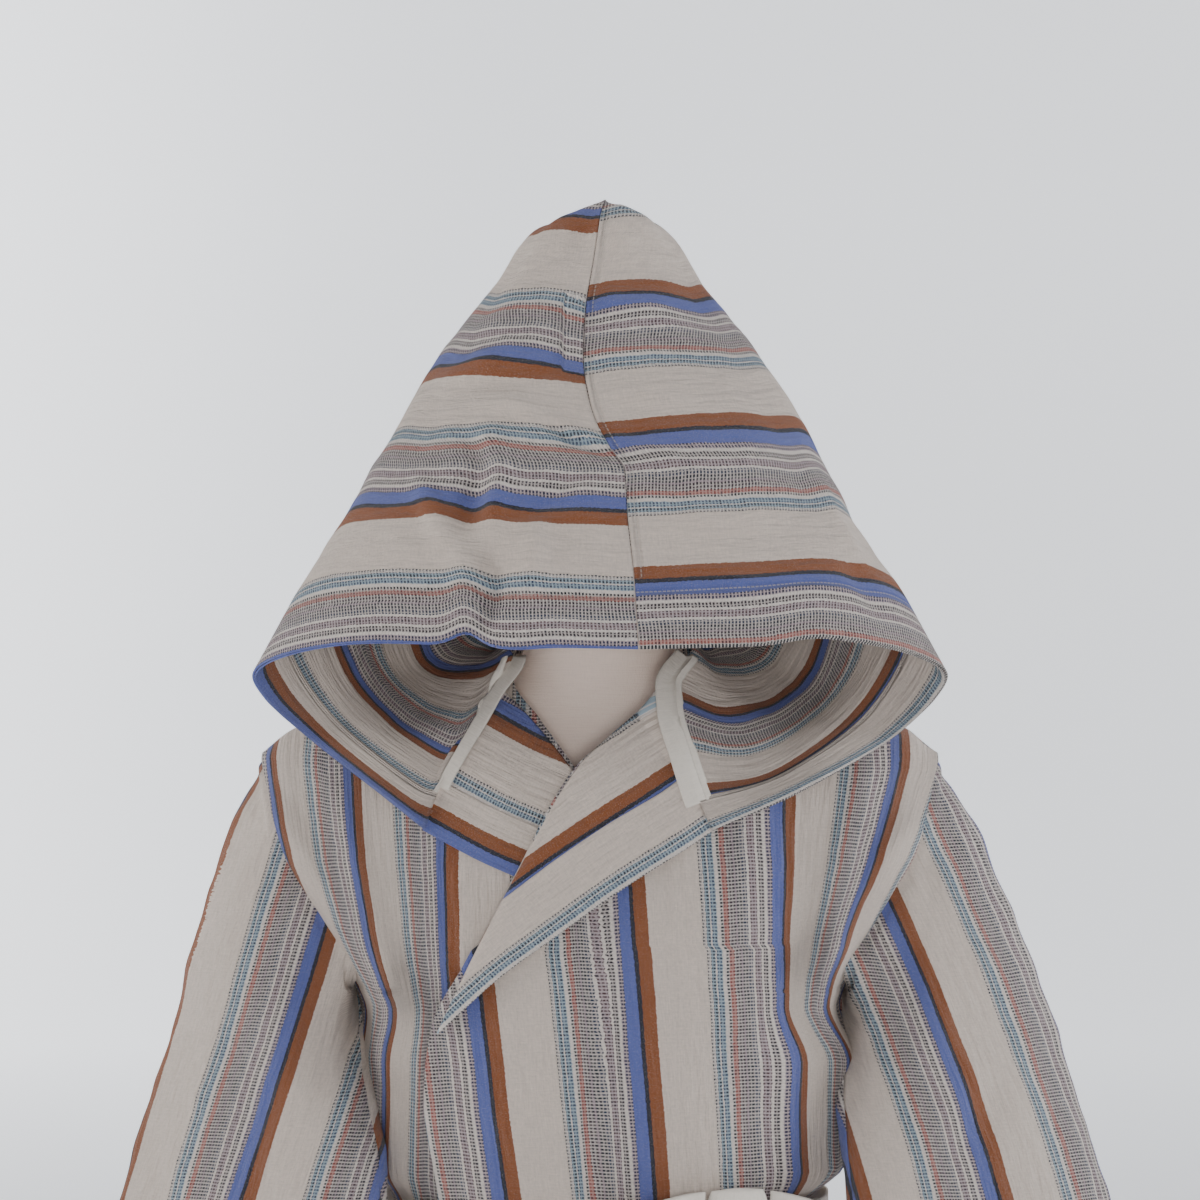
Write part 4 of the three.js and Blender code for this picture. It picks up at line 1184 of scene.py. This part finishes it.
def belt_sheet(name, across, down, point, size, material, ring, stir, seed):
    """A stretch of the belt of a size in mm, a ring's width running up and an end's across."""
    def weave(u, v, p):
        return (v * size[0], u * size[1]) if ring else (u * size[0], v * size[1])
    return cloth_sheet(name, across, down, point, weave, material, [name],
                       thickness=BELT["thick"], ring=ring, stir=stir, seed=seed)


def make_belt_band(material):
    def point(u, v):
        creased = 0.54 * sin(v * 9 + sin(u * 40))
        return belt_point(u * 360, BELT_Z + BELT["high"] * (v - 0.5) + creased)
    return belt_sheet("belt_band", 220, 14, point, (BELT["high"], BELT["round"]), material,
                      True, 0.25, 21.0)


def make_knot(material):
    """A soft wrapped knot: a rounded block with grooves where the belt folds over itself."""
    bm, spots = grid(64, 44)
    lay_out(bm, "cloth", {vert: (v * 60, u * 130) for vert, (u, v) in spots.items()})
    for vert, (u, v) in spots.items():
        t, a = 2 * v - 1, u * 2 * pi
        swell = sqrt(max(1 - 0.45 * t ** 4, 0)) if 0 < v < 1 else 0.02
        swell *= 1 - 0.06 * hump(sin(a + 1.2 + t * 1.3), 0.16) \
            - 0.05 * hump(t - 0.3 * cos(a), 0.1)
        p = from_knot(KNOT["wide"] / 2 * swell * cos(a),
                      KNOT["deep"] / 2 * (1 + swell * sin(a)))
        vert.co = (p.x, p.y, BELT_Z + KNOT["high"] / 2 * t)
    return closed_piece(bm, "belt_knot", material, "belt_knot", 0.6)


def make_loop(name, side, reach, thick, material):
    def point(u, v):
        a = outward(side, u) * 2 * pi
        out, s = (1 - cos(a)) / 2, sin(a)
        start = from_knot(side * (KNOT["wide"] / 2 + 0.5), KNOT["deep"] / 2)
        x = start.x + side * reach * out
        plump = thick * sign(s) * abs(s) ** 0.7 * (0.45 + 0.55 * out)
        band = belt_point(angle_at(min(x, 118), BELT_Z), BELT_Z).y
        y = mix(start.y, min(band - 8 - thick, start.y), smooth(out * 2.4))
        high = mix(38, 50, sin(min(out, 0.6) * pi))
        top = BELT_Z + 36 - 12 * ((x - 93) / 68) ** 2  # the belt's upper edge is arched here
        return Vector((x, y - plump, top + high * (v - 1)))
    return belt_sheet(name, 90, 22, point, (BELT["high"], 2.2 * reach), material, True, 0.5,
                      31.0)


def make_belt_end(name, side, length, material):
    def point(u, v):
        down = 1 - v
        z = BELT_Z - KNOT["high"] / 2 - 0.5 - length * down
        middle = BELT_FACE.x + side * (11 + 30 * smooth(down * 1.6))
        wide = BELT["end_wide"] * mix(0.45, 1, smooth(down * 3))
        level = min(body_point(angle_at(middle + dx, z), z, top_lift(middle + dx)).y
                    for dx in (-26, -13, 0, 13, 26))
        start = from_knot(side * 11, KNOT["deep"] / 2).y
        y = mix(start, min(level - 11, start + 4), smooth(down * 8))
        return Vector((middle + (u - 0.5) * wide, y, z))
    return belt_sheet(name, 14, 110, point, (BELT["end_wide"], length), material, False,
                      0.35, 41.0 + side)


# --- Dress form ---


def make_form(material):
    """The torso: one smooth skin through its sections, closed under and over."""
    bm, spots = grid(120, 170)
    low, high = FORM["z"][0], FORM["z"][-1]
    for vert, (u, v) in spots.items():
        z = mix(low, high, clamp((v - 0.03) / 0.94))
        shrink = min(min(v, 1 - v) / 0.03, 1)
        a = u * 2 * pi
        s, c, power = sin(a), cos(a), 2 / 2.3
        deep = along(FORM, z, "front" if c >= 0 else "back")
        seam = 0.35 * hump(z - 1430, 1.6)  # the neck piece is sewn on here
        vert.co = ((along(FORM, z, "half") - seam) * shrink * sign(s) * abs(s) ** power,
                   -(deep - seam) * shrink * sign(c) * abs(c) ** power, z)
    return closed_piece(bm, "form_torso_cover", material, "form_torso")


def spun(profile, steps):
    """A skin of revolution about the pole's axis, from (radius, height) places."""
    bm = bmesh.new()
    verts = [bm.verts.new((r, 0, z)) for r, z in profile]
    edges = [bm.edges.new(pair) for pair in zip(verts, verts[1:])]
    bmesh.ops.spin(bm, geom=verts + edges, cent=(0, 0, 0), axis=(0, 0, 1),
                   angle=2 * pi, steps=steps, use_merge=True)
    return bm


BASE_PROFILE = [
    (0, 0), (186, 0), (188.5, 0.6), (190, 2.5), (190, 8), (189, 10.5), (186, 13), (150, 15),
    (100, 18), (60, 21), (45, 23.5), (34, 27), (29, 34), (26, 46), (25, 57), (24, 60.5),
    (22, 62), (0, 62),
]
POLE_PROFILE = [(0, 62.3), (13, 62.3), (13, 400), (13, 700), (13, 739.7), (0, 739.7)]


def make_room():
    """A round pale floor that curves up into a wall far behind every camera."""
    radius, bend, wall, under = 16.0, 3.0, 9.0, 0.0004
    turns = [pi / 2 * i / 12 for i in range(1, 13)]
    profile = [(0.0, 0.0), (4.0, 0.0), (9.0, 0.0), (radius - bend, 0.0)]
    profile += [(radius - bend + bend * sin(a), bend * (1 - cos(a))) for a in turns]
    bm = spun([(r, z - under) for r, z in profile + [(radius, wall)]], 72)
    bmesh.ops.remove_doubles(bm, verts=bm.verts, dist=0.0001)
    bm.normal_update()
    floor = [face for face in bm.faces if face.calc_center_median().length < 6]
    if sum(face.normal.z for face in floor) < 0:
        bmesh.ops.reverse_faces(bm, faces=bm.faces)
    linked(bm, "room", pale_plaster())


# --- Making everything ---

make_camera()
make_light()
cloth = striped_cotton()
cream = cream_cotton()
hoods = [make_hood(side, "hood_" + name, cloth) for side, name in SIDES]
hood_hems = [make_hood_hem(side, "hood_hem_" + name, cloth) for side, name in SIDES]
lapels = [make_lapel(side, "lapel_" + name, cloth) for side, name in SIDES]
lapel_hems = [make_lapel_hem(side, "lapel_hem_" + name, cloth) for side, name in SIDES]
tapes = [make_tape(side, "neck_tape_" + name, cream) for side, name in SIDES]
fronts = [make_front(1, "front_left", 130, 1.0, 0.8, cloth),
          make_front(-1, "front_right", 124, 2.0, 0.6, cloth)]
back = make_back(cloth)
sleeves = [make_sleeve(side, "sleeve_" + name, cloth) for side, name in SIDES]
band, knot = make_belt_band(cream), make_knot(cream)
loops = [make_loop("belt_loop_left", 1, 44, 8, cream),
         make_loop("belt_loop_right", -1, 74, 9, cream)]
ends = [make_belt_end("belt_end_left", 1, 330, cream),
        make_belt_end("belt_end_right", -1, 290, cream)]
form = make_form(linen_cover())
enamel = black_enamel()

panels = ["front_left", "front_right", "back"]
for lapel, hem, size, area in zip(lapels, lapel_hems, ((0.105, 0.33), (0.105, 0.25)),
                                  (0.0158, 0.0142)):
    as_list(panels[:2])

closed_piece(spun(BASE_PROFILE, 96), "stand_base_casting", enamel, "stand_base", 0.01)
closed_piece(spun(POLE_PROFILE, 40), "stand_pole_tube", enamel, "stand_pole", 0.01)
make_room()
